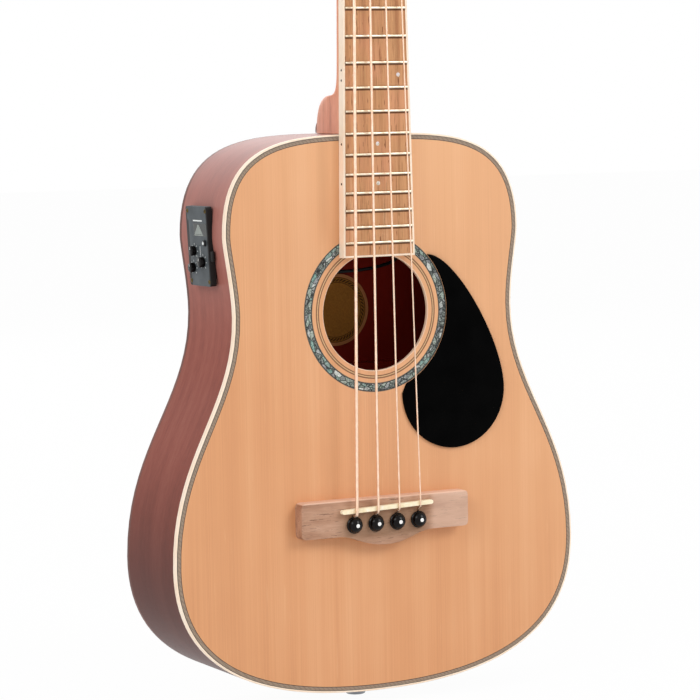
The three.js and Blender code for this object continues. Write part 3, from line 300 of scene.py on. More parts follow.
@finished(0.2)
def inner_wood(f):
    fine = f.noise((0.9, 0.9, 0.05), 4.0, 0.6)
    broad = f.noise((0.03, 0.03, 0.02), 2.0)
    # Partly the wood's tone and partly painted shade: these tones are darker than the braces' own, for the
    # dim inside of the box.
    base = f.ramp(fine * 0.5 + broad * 0.5, (0.3, "#7c4f35"), (0.5, "#936240"), (0.72, "#a9754f"))
    f.wear(Base_Color=base, Roughness=0.65 + fine * 0.25).bump(fine, 0.0001, 0.5)


@finished(0.3)
def purfling(f):
    """Fine strips across its width, the middle one of slanting chips."""
    share = f.layer("across")
    grain = f.noise(0.6)
    base = f.ramp(share, (0.0, "#51463b"), (0.12, "#51463b"), (0.17, "#b9a591"), (0.28, "#a08c79"),
                  (0.33, "#705f51"), (0.4, "#988472"), (0.52, "#b09c89"), (0.6, "#7b6958"),
                  (0.66, "#9c8876"), (0.8, "#ad9986"), (0.85, "#463a30"), (1.0, "#463a30"))
    slant = ((f.x + f.z) * 1.9).math("SINE")
    base = f.over(base, ("#65564a", f.rise(slant, 0.1, 0.9) * f.band(share, 0.18, 0.82, 0.03) * 0.4),
                  ("#74604c", f.rise(grain, 0.45, 0.75) * 0.25))
    f.wear(Base_Color=base, Roughness=0.35 + grain * 0.2)


@finished(0.3)
def line_ring(f):
    reach, _ = f.round_place(0, HOLE_UP)
    grain = f.noise(0.8)
    dark = f.band(reach, 46.9, 47.75, 0.08) + f.band(reach, 48.5, 49.5, 0.08)
    pale = f.ramp(grain, (0.3, "#caa278"), (0.7, "#dfbb8e"))
    f.wear(Base_Color=f.mix(pale, "#74452a", dark * 0.85), Roughness=0.35 + grain * 0.15)


@finished(0.5)
def shell(f):
    """Chips of shell of many tones, with dark joints and a dark line at either rim."""
    reach, turn = f.round_place(0, HOLE_UP)
    chips = f.joined(reach * 0.34, turn * 11.0, 0.0)
    tone = f.node("TexVoronoi", {"feature": "F1"}, {
        "Vector": chips, "Scale": 1.0, "Randomness": 1.0}, "Color")
    edge = f.node("TexVoronoi", {"feature": "DISTANCE_TO_EDGE"}, {
        "Vector": chips, "Scale": 1.0}, "Distance")
    pick = f.node("SeparateColor", {}, {0: tone}, 0)
    base = f.ramp(pick, (0.0, "#0c0f0e"), (0.22, "#1c2421"), (0.3, "#6d7b70"), (0.42, "#a9b3a4"),
                  (0.52, "#5f9a90"), (0.6, "#8b8a86"), (0.7, "#f3f6f0"), (0.8, "#6e6b78"),
                  (0.9, "#3d5a44"), (1.0, "#a594a4"))
    sheen = f.noise(0.9, 3.0, 0.7)
    rim = f.band(reach, 50.0, 53.2, 0.08) + f.band(reach, 58.4, 62.0, 0.08)
    lines = f.band(reach, 53.0, 53.4, 0.06) + f.band(reach, 58.2, 58.6, 0.06)
    base = f.over(base, (f.ramp(sheen, (0.34, "#141917"), (0.5, "#77857c"), (0.66, "#fbfdf8")), 0.42),
                  ("#131615", 1 - f.rise(edge, 0.0, 0.12)), ("#5b554c", rim), ("#1c1a17", lines))
    f.wear(Base_Color=base, Roughness=0.18 + sheen * 0.2).bump(pick, 0.00003, 0.5)


@finished(0.25)
def rosewood(f):
    """Streaks along the neck, with a painted shadow under each fret up to the nut."""
    streak = f.noise((0.9, 0.9, 0.035), 4.0, 0.65)
    broad = f.noise((0.22, 0.1, 0.003))
    blush = f.noise((0.05, 0.1, 0.02), 2.0)
    base = f.ramp(broad * 0.7 + streak * 0.3,
                  (0.36, "#ae7650"), (0.48, "#d09b6d"), (0.56, "#c48b61"), (0.66, "#e2b48a"))
    pores = f.rise(streak, 0.57, 0.64)
    dashes = f.rise(f.noise((0.62, 0.5, 0.07), 2.0, 0.6), 0.66, 0.71)
    count = (SCALE / f.z).math("LOGARITHM", 2.0) * 12
    fret = 2.0 ** (count.math("ROUND") * (-1 / 12)) * SCALE
    # Painted shadow: a dark band just under each fret.
    below = f.band(fret - f.z, 0.6, 2.1, 0.25) * (1 - f.rise(f.z, 604.0, 606.0))
    base = f.over(base, ("#e09a78", f.rise(blush, 0.5, 0.68) * 0.35), ("#84532f", pores * 0.5),
                  ("#69381c", dashes * 0.8), ("#4f2810", below * 0.85))
    f.wear(Base_Color=base, Roughness=0.5 + streak * 0.2).bump(pores, 0.00005, -0.5)


@finished(0.25)
def bridge_wood(f):
    """Grain across the guitar, darker round the pins, with a pale end and a painted highlight along the upper
    arris.
    """
    streak = f.noise((0.07, 0.9, 0.95), 4.0, 0.65)
    broad = f.noise((0.02, 0.1, 0.09))
    base = f.ramp(broad * 0.65 + streak * 0.35, (0.34, "#9a6d54"), (0.5, "#b98f75"), (0.68, "#d2ab93"))
    pores = f.rise(streak, 0.58, 0.64)
    middle = f.band(f.x, -38.0, 33.0, 8.0) * f.band(f.z, -26.0, -3.0, 5.0)
    # Painted highlight: the #f2c8ae share lightens the upper arris.
    base = f.over(base, ("#65432f", pores * 0.7), ("#7c5f43", middle * 0.5),
                  ("#e6c2ac", f.rise(f.x, 35.0, 42.0) * 0.45), ("#f2c8ae", f.rise(f.z, 3.1, 3.7) * 0.75))
    f.wear(Base_Color=base, Roughness=0.5 + streak * 0.2).bump(pores, 0.00006, -0.5)


@finished(0.3)
def dark_plastic(f):
    grain = f.noise(3.0, 2.0, 0.6)
    cloud = f.noise(0.08, 2.0)
    base = f.ramp(cloud * 0.7 + grain * 0.3, (0.3, "#42474a"), (0.55, "#50565a"), (0.8, "#5d6366"))
    # Painted shade: a near-black strip along one long edge, below the upper end.
    strip = f.rise(f.y, 52.4, 53.2) * (1 - f.rise(f.z, 210.0, 213.0))
    # The near-black rim along both long edges is partly the panel's dark edge and partly painted shade.
    base = f.over(base, ("#0d0908", f.rise(abs(f.y - PANEL_MIDDLE[1]), 15.6, 16.6)), ("#14100f", strip))
    f.wear(Base_Color=base, Roughness=0.4 + grain * 0.2).bump(grain, 0.00004, 0.4)


@finished(0.1)
def paper(f):
    """A label with a twisted rope between two plain rings."""
    reach, turn = f.round_place(*LABEL_MIDDLE)
    fibre = f.noise(0.7, 4.0, 0.6)
    base = f.ramp(fibre, (0.3, "#a46a2c"), (0.7, "#ba8038"))
    twist = (turn * 52.0 + reach * 2.4).math("SINE")
    rope = f.band(reach, 21.6, 23.8, 0.15) * (0.55 + twist * 0.45)
    rings = f.band(reach, 20.7, 21.1) + f.band(reach, 24.4, 24.8)
    base = f.over(base, ("#3a2010", rope), ("#3a2010", rings), ("#d08a5e", f.rise(reach, 24.9, 25.2) * 0.7))
    f.wear(Base_Color=base, Roughness=0.8 + fibre * 0.15).bump(fibre, 0.00005, 0.4)


@finished(Metallic=1.0)
def fret_metal(f):
    cloud = f.noise(0.3)
    crown = f.ramp(cloud, (0.3, "#e6d7b8"), (0.7, "#fbf3e2"))
    # Painted shade: the fret is darker at its foot, where it meets the board.
    foot_shade = f.rise(f.y, -8.2, -7.9)
    base = f.mix(crown, "#4a3620", foot_shade)
    f.wear(Base_Color=base, Roughness=0.34 + cloud * 0.12).bump(cloud, 0.00001, 0.3)


@finished(Metallic=1.0)
def wound_string(f):
    way = f.layer("along")
    turn = (way * 7.0).math("SINE")
    tone = f.noise((way * 0.2, f.x * 0.5, 0.0), 2.0)
    base = f.ramp(tone, (0.3, "#f3cfb2"), (0.7, "#fde5d0"))
    # Painted shade: the grooves between the windings are mixed darker.
    base = f.mix(base, "#cf9c78", 0.25 - f.rise(turn, -1.0, -0.4) * 0.25)
    f.wear(Base_Color=base, Roughness=0.38 + tone * 0.1).bump(turn, 0.00006, 0.5)


@finished(0.4)
def battery_case(f):
    cloud = f.noise(0.6)
    top = f.rise(f.z, 240.0, 240.6)
    base = f.mix(f.ramp(cloud, (0.3, "#1b1b1d"), (0.7, "#28282b")), "#b98a4a", top)
    f.wear(Base_Color=base, Roughness=0.3 + cloud * 0.2)


@finished(0.3)
def lead_rubber(f):
    way = f.layer("along")
    ripple = f.noise((way * 0.8, f.x * 0.8, f.y * 0.8))
    base = f.ramp(ripple, (0.3, "#101011"), (0.7, "#1e1e20"))
    f.wear(Base_Color=base, Roughness=0.45 + ripple * 0.15).bump(ripple, 0.00003, 0.4)


def cloudy(name, gloss, tones, scale, rough, vary, detail=3.0, roughness=0.5, relief=None, **constants):
    """A finish whose colour and shine change a little from place to place."""
    f = Finish(name, gloss, **constants)
    cloud = f.noise(scale, detail, roughness)
    f.wear(Base_Color=f.ramp(cloud, *tones.items()), Roughness=rough + cloud * vary)
    return f.bump(cloud, *relief) if relief else f


def metal(name, dark, light, rough, scale=0.4):
    return cloudy(name, 0.5, {0.3: dark, 0.7: light}, scale, rough, 0.12, 4.0, 0.6, (0.00001, 0.3),
                  Metallic=1.0)


guard_black = cloudy("guard_black", 0.02, {0.3: "#010101", 0.7: "#040404"}, 0.05, 0.2, 0.1)
black_gloss = cloudy("black_gloss", 0.16, {0.3: "#040202", 0.7: "#0c0606"}, 0.6, 0.06, 0.1)
meter_screen = cloudy("meter_screen", 0.5, {0.3: "#1b1f1d", 0.7: "#2a2f2c"}, 0.4, 0.12, 0.1)
print_grey = cloudy("print_grey", 0.3, {0.3: "#858b86", 0.7: "#a3a9a3"}, 1.5, 0.4, 0.2)
print_white = cloudy("print_white", 0.3, {0.3: "#d9dedb", 0.7: "#f6f8f6"}, 1.5, 0.4, 0.2)
white_dot = cloudy("white_dot", 0.5, {0.3: "#e9ebe6", 0.6: "#ffffff"}, 1.2, 0.15, 0.15, roughness=0.7)
pearl_dot = cloudy("pearl_dot", 0.5, {0.36: "#a9a58e", 0.48: "#e6e0cd", 0.58: "#e3dcea", 0.7: "#fbfaf4"},
                   (0.7, 0.7, 0.35), 0.15, 0.15, roughness=0.7)
cream_plastic = cloudy("cream_plastic", 0.4, {0.3: "#fbe2c6", 0.55: "#ffead3", 0.8: "#fff4e2"},
                       0.05, 0.28, 0.2)
cream_plastic.bump(cream_plastic.noise(0.8, 2.0), 0.00002, 0.4)
bone = cloudy("bone", 0.4, {0.3: "#f6e4ba", 0.6: "#fff2d2", 0.8: "#fffaf0"}, 0.25, 0.3, 0.2)
bone.bump(bone.noise(1.5, 2.0), 0.00002, 0.4)
box_plastic = cloudy("box_plastic", 0.3, {0.3: "#161617", 0.7: "#26272a"}, 2.0, 0.45, 0.2, 2.0, 0.6,
                     (0.00005, 0.4))
steel = metal("steel", "#7d8084", "#a7aaae", 0.28)
chrome = metal("chrome", "#797c80", "#919498", 0.3, 0.1)
brass = metal("brass", "#b58f3c", "#dcb866", 0.22)
dark_screw = metal("dark_screw", "#3a3020", "#7d6a3e", 0.3, 0.5)


# Ways of shaping

def lerp(a, b, share):
    return a + (b - a) * share


def arc(x, z, radius, start, end, steps):
    angles = [math.radians(lerp(start, end, k / steps)) for k in range(steps + 1)]
    return [(x + radius * math.cos(a), z + radius * math.sin(a)) for a in angles]


def curve(*points, steps=12):
    """Points on a curve between its two ends, without the first one."""
    made = interpolate_bezier(*[Vector((x, 0, z)) for x, z in points], steps + 1)
    return [(p.x, p.z) for p in made[1:]]


def path(start, *moves, steps=12):
    """Points along lines to one point, rounded corners given by two and curves given by three."""
    line = [start]
    for move in moves:
        near = line[-1]
        if len(move) == 1:
            line += move
        elif len(move) == 2:
            handles = [[lerp(p, q, 2 / 3) for p, q in zip(end, move[0])] for end in (near, move[1])]
            line += curve(near, *handles, move[1], steps=5)
        else:
            line += curve(near, *move, steps=steps)
    return line


def rounded(half_width, low, high, radius, steps=6):
    """A rounded rectangle given by its half width and its ends."""
    points = []
    for sx, z, start in ((1, high, 0), (-1, high, 90), (-1, low, 180), (1, low, 270)):
        side = 1 if z == high else -1
        points += arc(sx * (half_width - radius), z - side * radius, radius, start, start + 90, steps)
    return points


def mirrored(half):
    """A whole outline from its treble half, which starts and ends on the middle line."""
    return half + [(-x, z) for x, z in half[-2:0:-1]]


def level(y, slope=0.0):
    """Flattens what it moves onto a plane across the body, which may lean with height."""
    return Matrix(((1, 0, 0, 0), (0, 0, slope, y), (0, 0, 1, 0), (0, 0, 0, 1)))


def on_back(offset):
    """The slope of the back, or a plane beside it."""
    return level(BACK_DEPTH + offset, -BACK_SLOPE)


def loop_of(bm, points):
    """A closed line through points given across and up."""
    verts = [bm.verts.new((x, 0, z)) for x, z in points]
    return [bm.edges.new((verts[k - 1], verts[k])) for k in range(len(verts))]


def only(made, kind):
    """The corners, edges or faces among what an operator made."""
    return [g for g in made if isinstance(g, kind)]


def edges_at(verts):
    return list({e for v in verts for e in v.link_edges})


def circle_of(bm, radius, x, z, sides=96):
    turn = moved(x, 0, z) @ spun(90, "X")
    verts = bmesh.ops.create_circle(bm, cap_ends=False, segments=sides, radius=radius, matrix=turn)["verts"]
    return edges_at(verts)


def filled(bm, edges):
    """The flat faces between an outline and the holes in it."""
    made = bmesh.ops.triangle_fill(bm, use_beauty=True, use_dissolve=False, edges=edges, normal=(0, -1, 0))
    return only(made["geom"], bmesh.types.BMFace)


def slab(bm, faces, front, back):
    """Gives flat faces a thickness between two planes."""
    bmesh.ops.transform(bm, matrix=front, verts=list({v for face in faces for v in face.verts}))
    made = bmesh.ops.extrude_face_region(bm, geom=list(faces))["geom"]
    bmesh.ops.transform(bm, matrix=back, verts=only(made, bmesh.types.BMVert))
    bmesh.ops.recalc_face_normals(bm, faces=bm.faces)


def plate(bm, front, back, *outlines):
    """A flat plate between two depths, with an outline and any holes."""
    edges = [e for outline in outlines for e in loop_of(bm, outline)]
    slab(bm, filled(bm, edges), level(front), level(back))


def rim_of(bm, faces, width):
    """The band along the edge of flat faces, cut off from what it surrounds by an inset."""
    made = bmesh.ops.inset_region(bm, faces=faces, thickness=width, use_boundary=True, use_even_offset=True)
    return made["faces"]


def cut_off(bm, at, way, side):
    """Cuts a mesh at a plane, clears what is on one side and closes the cut."""
    cut = bmesh.ops.bisect_plane(bm, geom=bm.verts[:] + bm.edges[:] + bm.faces[:], dist=0.001, plane_co=at,
                                 plane_no=way, **{side: True})["geom_cut"]
    bmesh.ops.holes_fill(bm, edges=only(cut, bmesh.types.BMEdge), sides=0)


def bevelled(bm, edges, width, segments):
    bmesh.ops.bevel(bm, geom=edges, offset=width, offset_type="OFFSET", segments=segments, profile=0.5,
                    affect="EDGES", material=-1, clamp_overlap=True)


def soften(bm, width, where, segments=3):
    """Rounds the sharp edges whose corners all pass a test."""
    bm.normal_update()
    sharp = [e for e in bm.edges
             if e.is_manifold and e.calc_face_angle() > 0.6 and all(where(v.co) for v in e.verts)]
    bevelled(bm, sharp, width, segments)


def chip(bm, size, width=0.3, segments=2):
    """A small block with softened edges, about the middle."""
    made = bmesh.ops.create_cube(bm, size=1, matrix=Matrix.Diagonal((*size, 1)))["verts"]
    bevelled(bm, edges_at(made), width, segments)


def turned(bm, profile, steps=32):
    """A profile of radius and place along y, turned about the y axis."""
    verts = [bm.verts.new((r, y, 0)) for r, y in profile]
    edges = [bm.edges.new(pair) for pair in zip(verts, verts[1:])]
    bmesh.ops.spin(bm, geom=verts + edges, cent=(0, 0, 0), axis=(0, 1, 0), dvec=(0, 0, 0), angle=2 * math.pi,
                   steps=steps, use_merge=True, use_duplicate=False)
    bmesh.ops.remove_doubles(bm, verts=bm.verts, dist=0.0005)
    bmesh.ops.recalc_face_normals(bm, faces=bm.faces)


def sweep(bm, route, radii, sides=12):
    """A round tube along a route, which keeps its way along in a layer of that name."""
    along = bm.verts.layers.float.get("along") or bm.verts.layers.float.new("along")
    steps = [(b - a).normalized() for a, b in zip(route, route[1:])]
    headings = [steps[0]] + [a + b for a, b in zip(steps, steps[1:])] + [steps[-1]]
    start = Matrix.Translation(route[0]) @ headings[0].to_track_quat("Z", "Y").to_matrix().to_4x4()
    ring = bmesh.ops.create_circle(bm, cap_ends=True, segments=sides, radius=radii[0], matrix=start)["verts"]
    edges = edges_at(ring)
    length = 0.0
    for k in range(1, len(route)):
        made = bmesh.ops.extrude_edge_only(bm, edges=edges)["geom"]
        verts = only(made, bmesh.types.BMVert)
        fresh = set(verts)
        edges = [e for e in only(made, bmesh.types.BMEdge) if fresh.issuperset(e.verts)]
        turn = headings[k - 1].rotation_difference(headings[k]).to_matrix().to_4x4()
        grow = Matrix.Scale(radii[k] / radii[k - 1], 4)
        move = Matrix.Translation(route[k]) @ turn @ grow @ Matrix.Translation(-route[k - 1])
        bmesh.ops.transform(bm, matrix=move, verts=verts)
        length += (route[k] - route[k - 1]).length
        for v in verts:
            v[along] = length
    bmesh.ops.contextual_create(bm, geom=edges)
    bmesh.ops.recalc_face_normals(bm, faces=bm.faces)


def joined_in(bm, own):
    """Adds a mesh that was finished by itself to another one."""
    mesh = bpy.data.meshes.new("part")
    own.to_mesh(mesh)
    own.free()
    bm.from_mesh(mesh)
    bpy.data.meshes.remove(mesh)


def add(bm, matrix, make, *values):
    """Makes one more shape in a mesh and moves it to its place."""
    before = set(bm.verts)
    make(bm, *values)
    bmesh.ops.transform(bm, matrix=matrix, verts=[v for v in bm.verts if v not in before])


def made_of(*shapes):
    """A mesh of shapes, each given by its place, the function that makes it and what that needs."""
    bm = bmesh.new()
    for shape in shapes:
        add(bm, *shape)
    return bm


def piece(name, bm, finish, slot, *nodes, body="instrument", crease=32):
    """Turns a mesh into a finished piece that rides on a body and stands for these solids."""
    bmesh.ops.transform(bm, matrix=TO_FRAME, verts=bm.verts)
    mesh = bpy.data.meshes.new(name)
    bm.to_mesh(mesh)
    bm.free()
    mesh.shade_smooth()
    mesh.set_sharp_from_angle(angle=math.radians(crease))
    mesh.materials.append(finish.material)
    made = bpy.data.objects.new(name, mesh)
    scene.collection.objects.link(made)
    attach(made, body)
    if nodes:
        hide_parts(*nodes)


def dress(finish, *names):
    """Gives solids that keep their own shape their finish."""
    for name in names:
        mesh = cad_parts[name].data
        mesh.materials.clear()
        mesh.materials.append(finish.material)


# The soundbox

BINDING = 1.5  # the width of the binding round the body and the fretboard
PURFLING = 3.1  # the width of the purfling beside it
BINDING_DEEP = 4  # how far down the side the binding reaches


def half_outline(steps=(26, 8, 18, 32)):
    """The treble half of the body's outline, from the heel down to the tail."""
    curves = [
        [(0, BODY_UP), (63.18, BODY_UP), (BODY_HALF, 272.94), (BODY_HALF, 199.5)],
        [(BODY_HALF, 199.5), (BODY_HALF, 190.3), (115, 162.125), (115, 142)],
        [(115, 142), (115, 75.585), (166, 45.07), (166, -37.5)],
        [(166, -37.5), (166, -125.475), (76.36, -141), (0, -141)],
    ]
    points = []
    for bend, count in zip(curves, steps):
        made = interpolate_bezier(*[Vector((x, 0, z)) for x, z in bend], count + 1)
        points += made[1:] if points else made
    return points


def body_face(bm, inset=0.0):
    """The body's outline as one flat face, moved inwards, whose corners know their way round."""
    along = bm.verts.layers.float.new("along")
    bm.verts.layers.float.new("across")
    half = half_outline()
    bass = [Vector((-p.x, 0, p.z)) for p in half[-2:0:-1]]
    verts = [bm.verts.new(p) for p in half + bass]
    length = 0.0
    for k in range(1, len(half)):
        length += (half[k] - half[k - 1]).length
        verts[k][along] = length
        if k < len(half) - 1:
            verts[-k][along] = length
    face = bm.faces.new(verts)
    face.normal_update()
    if inset:
        bmesh.ops.delete(bm, geom=rim_of(bm, [face], inset), context="FACES")
        face.normal_update()
    return face


def body_trim(bm, inset, width, front, back):
    """A band that follows the outline, whose corners know their share of the way across it."""
    face = body_face(bm, inset)
    rim = rim_of(bm, [face], width)
    across = bm.verts.layers.float["across"]
    for v in face.verts:
        v[across] = 1.0
    bmesh.ops.delete(bm, geom=[face], context="FACES")
    slab(bm, rim, front, back)


bm = bmesh.new()
body_edge = list(body_face(bm, BINDING + PURFLING).edges)
bmesh.ops.delete(bm, geom=list(bm.faces), context="FACES_ONLY")
slab(bm, filled(bm, body_edge + circle_of(bm, HOLE_RADIUS, 0, HOLE_UP)), level(0), level(TOP_THICK))
soften(bm, 0.5, lambda co: co.y < 0.1 and math.hypot(co.x, co.z - HOLE_UP) < HOLE_RADIUS + 0.7, 2)
piece("top_board", bm, spruce, "spruce", "soundboard")

bm = bmesh.new()
slab(bm, [body_face(bm, BINDING)], on_back(-BACK_THICK), on_back(0))
piece("back_board", bm, back_mahogany, "mahogany", "back_plate")

for sign, name, node in ((-1, "bass_side", "side_bass"), (1, "treble_side", "side_treble")):
    bm = bmesh.new()
    body_trim(bm, 0, SIDE_THICK, level(BINDING_DEEP), on_back(-BINDING_DEEP))
    cut_off(bm, (0, 0, 0), (sign, 0, 0), "clear_inner")
    piece(name, bm, side_mahogany, "mahogany", node)

bm = bmesh.new()
body_trim(bm, 0, BINDING, level(0), level(BINDING_DEEP))
soften(bm, 0.55, lambda co: co.y < 0.1)
piece("top_binding", bm, cream_plastic, "cream_plastic", "binding_top")

bm = bmesh.new()
body_trim(bm, 0, BINDING, on_back(-BINDING_DEEP), on_back(0))
soften(bm, 0.55, lambda co: co.y > BACK_DEPTH - 0.16 - BACK_SLOPE * co.z)
piece("back_binding", bm, edge_wood, "mahogany", "binding_back")

bm = bmesh.new()
body_trim(bm, BINDING, PURFLING, level(0), level(1.2))
piece("top_purfling", bm, purfling, "purfling", "purfling_top")

for name, node, (inner, outer), look, slot in (
        ("rosette_lines", "rosette_line_ring", (46.9, 49.5), line_ring, "purfling"),
        ("rosette_shell", "rosette_shell_ring", (52.5, 59.2), shell, "shell")):
    bm = bmesh.new()
    edges = circle_of(bm, outer, 0, HOLE_UP, 128) + circle_of(bm, inner, 0, HOLE_UP, 128)
    slab(bm, filled(bm, edges), level(-0.04), level(1.2))
    piece(name, bm, look, slot, node)

bm = bmesh.new()
slab(bm, filled(bm, circle_of(bm, 27.5, *LABEL_MIDDLE, 80)), on_back(-5.2), on_back(-4.8))
piece("round_label", bm, paper, "paper", "paper_label")

dress(inner_wood, "neck_block", "tail_block", "lining_top", "lining_back", "soundboard_bracing",
      "transverse_brace", "bridge_plate")
dress(back_mahogany, "back_bracing")
dress(battery_case, "battery")
dress(steel, "truss_rod", "truss_rod_nut")


# The pickguard, bridge, saddle and pins

GUARD_WIDE = 107.2  # the pickguard's outer edge
GUARD_LOW = 79  # the height of its lower arc's middle
bm = bmesh.new()
edge_arc = arc(0, HOLE_UP, 59.5, 43, -66, 40)
tip = edge_arc[0]
outline = edge_arc + arc(64, GUARD_LOW, 43.2, 180, 360, 48)
outline += curve((GUARD_WIDE, GUARD_LOW), (GUARD_WIDE, lerp(GUARD_LOW, tip[1], 0.34)),
                 (lerp(tip[0], GUARD_WIDE, 0.36), tip[1]), tip, steps=32)[:-1]
plate(bm, -1.9, -0.02, outline)
soften(bm, 0.5, lambda co: co.y < -1.8)
piece("pick_guard", bm, guard_black, "black_gloss", "pickguard")

CLEAR = 0.3  # the gap beside a string where it passes another piece
PIN_HOLE = 4.3  # a pin hole's radius
PIN_UP = -14.2  # the pins' place on the bridge
SADDLE_UP, SADDLE_TOP = -2.8, -14.0
SADDLE_ANGLE = math.atan2(2.4, 76)
STRINGS = [{"diameter": d, "share": k / 3 - 0.5} for k, d in enumerate((2.4, 1.9, 1.4, 1.1))]
for string in STRINGS:
    string["radius"] = string["diameter"] / 2
    string["pin_x"] = string["share"] * 53.4
    string["nut_x"] = string["share"] * 30
    string["sign"] = math.copysign(1, string["share"])
    string["offset"] = PIN_HOLE - CLEAR - string["radius"]


def saddle_z(x):
    return SADDLE_UP + x * math.tan(SADDLE_ANGLE)


def pin_hole(string):
    """A pin's hole with the slot in front of it where its string comes up."""
    half = string["radius"] + CLEAR
    lean = math.degrees(math.asin(half / PIN_HOLE))
    round_part = arc(string["pin_x"], PIN_UP, PIN_HOLE, 90 + lean, 450 - lean, 24)
    return round_part + [(string["pin_x"] + half, -7.2), (string["pin_x"] - half, -7.2)]


bm = bmesh.new()
treble = path((0, 4.4), [(65.5, 4.4)], [(69.5, 4.4), (69.5, 0.4)], [(69.5, -18.3)],
              [(69.5, -22.3), (65.5, -22.3)], [(40, -22.3)], [(24.8, -22.3), (20, -30.7), (0, -30.7)],
              steps=20)
plate(bm, -10.3, -0.02, mirrored(treble), *[pin_hole(string) for string in STRINGS])
soften(bm, 1.3, lambda co: co.y < -10.2 and not (abs(co.x) < 33 and -19 < co.z < -7), 4)
piece("bridge_body", bm, bridge_wood, "bridge_wood", "bridge")

bm = bmesh.new()
plate(bm, SADDLE_TOP, -6.5, arc(-36.4, 0, 1.6, 90, 270, 10) + arc(36.4, 0, 1.6, -90, 90, 10))
soften(bm, 1.1, lambda co: co.y < SADDLE_TOP + 0.1, 4)
lean = moved(0, 0, SADDLE_UP) @ Matrix.Rotation(-SADDLE_ANGLE, 4, "Y")
bmesh.ops.transform(bm, matrix=lean, verts=bm.verts)
piece("bridge_saddle", bm, bone, "bone", "saddle")
dress(brass, "saddle_pickup")

dome = [(5.6 * math.cos(a), -12.6 - 4.4 * math.sin(a)) for a in (math.radians(9 * n) for n in range(1, 10))]
PIN = [(0, 17), (2.4, 17), (3.3, 16.2), (3.9, -10.3), (5.7, -10.5), (6.3, -11.0), (6.3, -11.9), (5.9, -12.4),
       (5.6, -12.6)] + dome + [(0, -17)]
PIN_DOT = [(0, -16.2), (1.6, -16.2), (1.6, -16.75), (1.25, -16.95), (0, -17.0)]
for k, string in enumerate(STRINGS, 1):
    place = moved(string["pin_x"], 0, PIN_UP)
    pin = made_of((place, turned, PIN))
    piece(f"pin_{k}", pin, black_gloss, "black_gloss", f"bridge_pin_{k}", body=f"pin_{k}")
    dot = made_of((place, turned, PIN_DOT, 24))
    piece(f"pin_dot_{k}", dot, white_dot, "bone", body=f"pin_{k}")


# The neck and headstock

BOARD_TOP, BOARD_UNDER = -7.5, -0.3  # the fretboard's depths, in front of the soundboard
NECK_LOW, NECK_HIGH = 17.4, 14.6  # the neck's depth by the heel and by the nut
HEEL_DEPTH = 75.5
HEAD_UP, HEAD_LEAN = 616, -13
HEAD = moved(0, 0, HEAD_UP) @ spun(HEAD_LEAN, "X")
VENEER = 1.5


def board_half(z):
    return lerp(29.5, 22, (z - BOARD_LOW) / (SCALE - BOARD_LOW))


def board_outline(low, high, inset=0.0):
    """The fretboard's four corners between two heights."""
    return [(-board_half(low) + inset, low), (board_half(low) - inset, low), (board_half(high) - inset, high),
            (-board_half(high) + inset, high)]


def neck_ring(bm, z, depth, square=0.0):
    """One ring of the neck: flat on top and round below, squarer where it is heel or headstock."""
    heel = min(max((depth - NECK_LOW) / (HEEL_DEPTH - NECK_LOW), 0), 1)
    power = lerp(1, 0.36, max(math.sqrt(heel), square))
    corners = []
    for k in range(33):
        angle = lerp(-math.pi / 2, math.pi / 2, k / 32)
        down = 0 if k in (0, 32) else math.cos(angle) ** power
        across = math.copysign(abs(math.sin(angle)) ** power, angle)
        narrow = 1 - 0.58 * heel * down
        corners.append(bm.verts.new((board_half(z) * across * narrow, depth * down, z)))
    return [bm.edges.new((corners[k - 1], corners[k])) for k in range(33)]


def head_plate(bm, front, back, round_back):
    """The headstock's outline as a plate, softened at its back or, as a veneer, at its front."""
    half = path((0, 0), [(21.7, 0)], [(21.7, 13), (34, 13), (34, 26)], [(36.5, 134)],
                [(36.5, 143), (27.5, 143)], [(12.775, 143), (12.775, 152), (0, 152)])
    own = bmesh.new()
    plate(own, front, back, mirrored(half))
    if round_back:
        soften(own, 1.6, lambda co: co.y > back - 0.1 and co.z > -1, 3)
    else:
        soften(own, 0.4, lambda co: co.y < front + 0.1 and co.z > 0.5, 2)
    joined_in(bm, own)


bm = bmesh.new()
knee = [Vector(p) for p in ((0, NECK_LOW, 318), (0, NECK_LOW, 303.5), (0, 22.0, 300.4), (0, 40, 299.8))]
sole = [Vector(p) for p in ((0, 40, 299.8), (0, 64.5, 299.2), (0, 74.6, 290.0), (0, 75.2, 271.8))]
heel = interpolate_bezier(*sole, 17)[::-1][:-1] + interpolate_bezier(*knee, 13)[::-1][:-1]
stations = [(p.z, p.y) for p in heel]
stations += [(z, lerp(NECK_LOW, NECK_HIGH, (z - 326) / (SCALE - 326))) for z in (326, 380, 440, 500, 560)]
stations += [(580, 15.0, 0.1), (590, 14.9, 0.3), (598, 14.8, 0.6), (604, 14.7, 0.85), (608, NECK_HIGH, 1),
             (614.5, NECK_HIGH, 1)]
rings = [neck_ring(bm, *station) for station in stations]
for near, far in zip(rings, rings[1:]):
    bmesh.ops.bridge_loops(bm, edges=near + far)
for end in (rings[0], rings[-1]):
    bmesh.ops.contextual_create(bm, geom=end)
bmesh.ops.recalc_face_normals(bm, faces=bm.faces)
add(bm, HEAD, head_plate, VENEER, 15, True)
add(bm, moved(0, 27.15, 262.5), chip, (22, 45.7, 18))
piece("neck_and_head", bm, neck_mahogany, "mahogany", "neck", crease=40)
piece("head_veneer", made_of((HEAD, head_plate, 0, VENEER, False)), rosewood, "rosewood")

bm = bmesh.new()
plate(bm, BOARD_TOP, BOARD_UNDER, board_outline(BOARD_LOW + BINDING, SCALE, BINDING))
piece("finger_board", bm, rosewood, "rosewood", "fretboard")

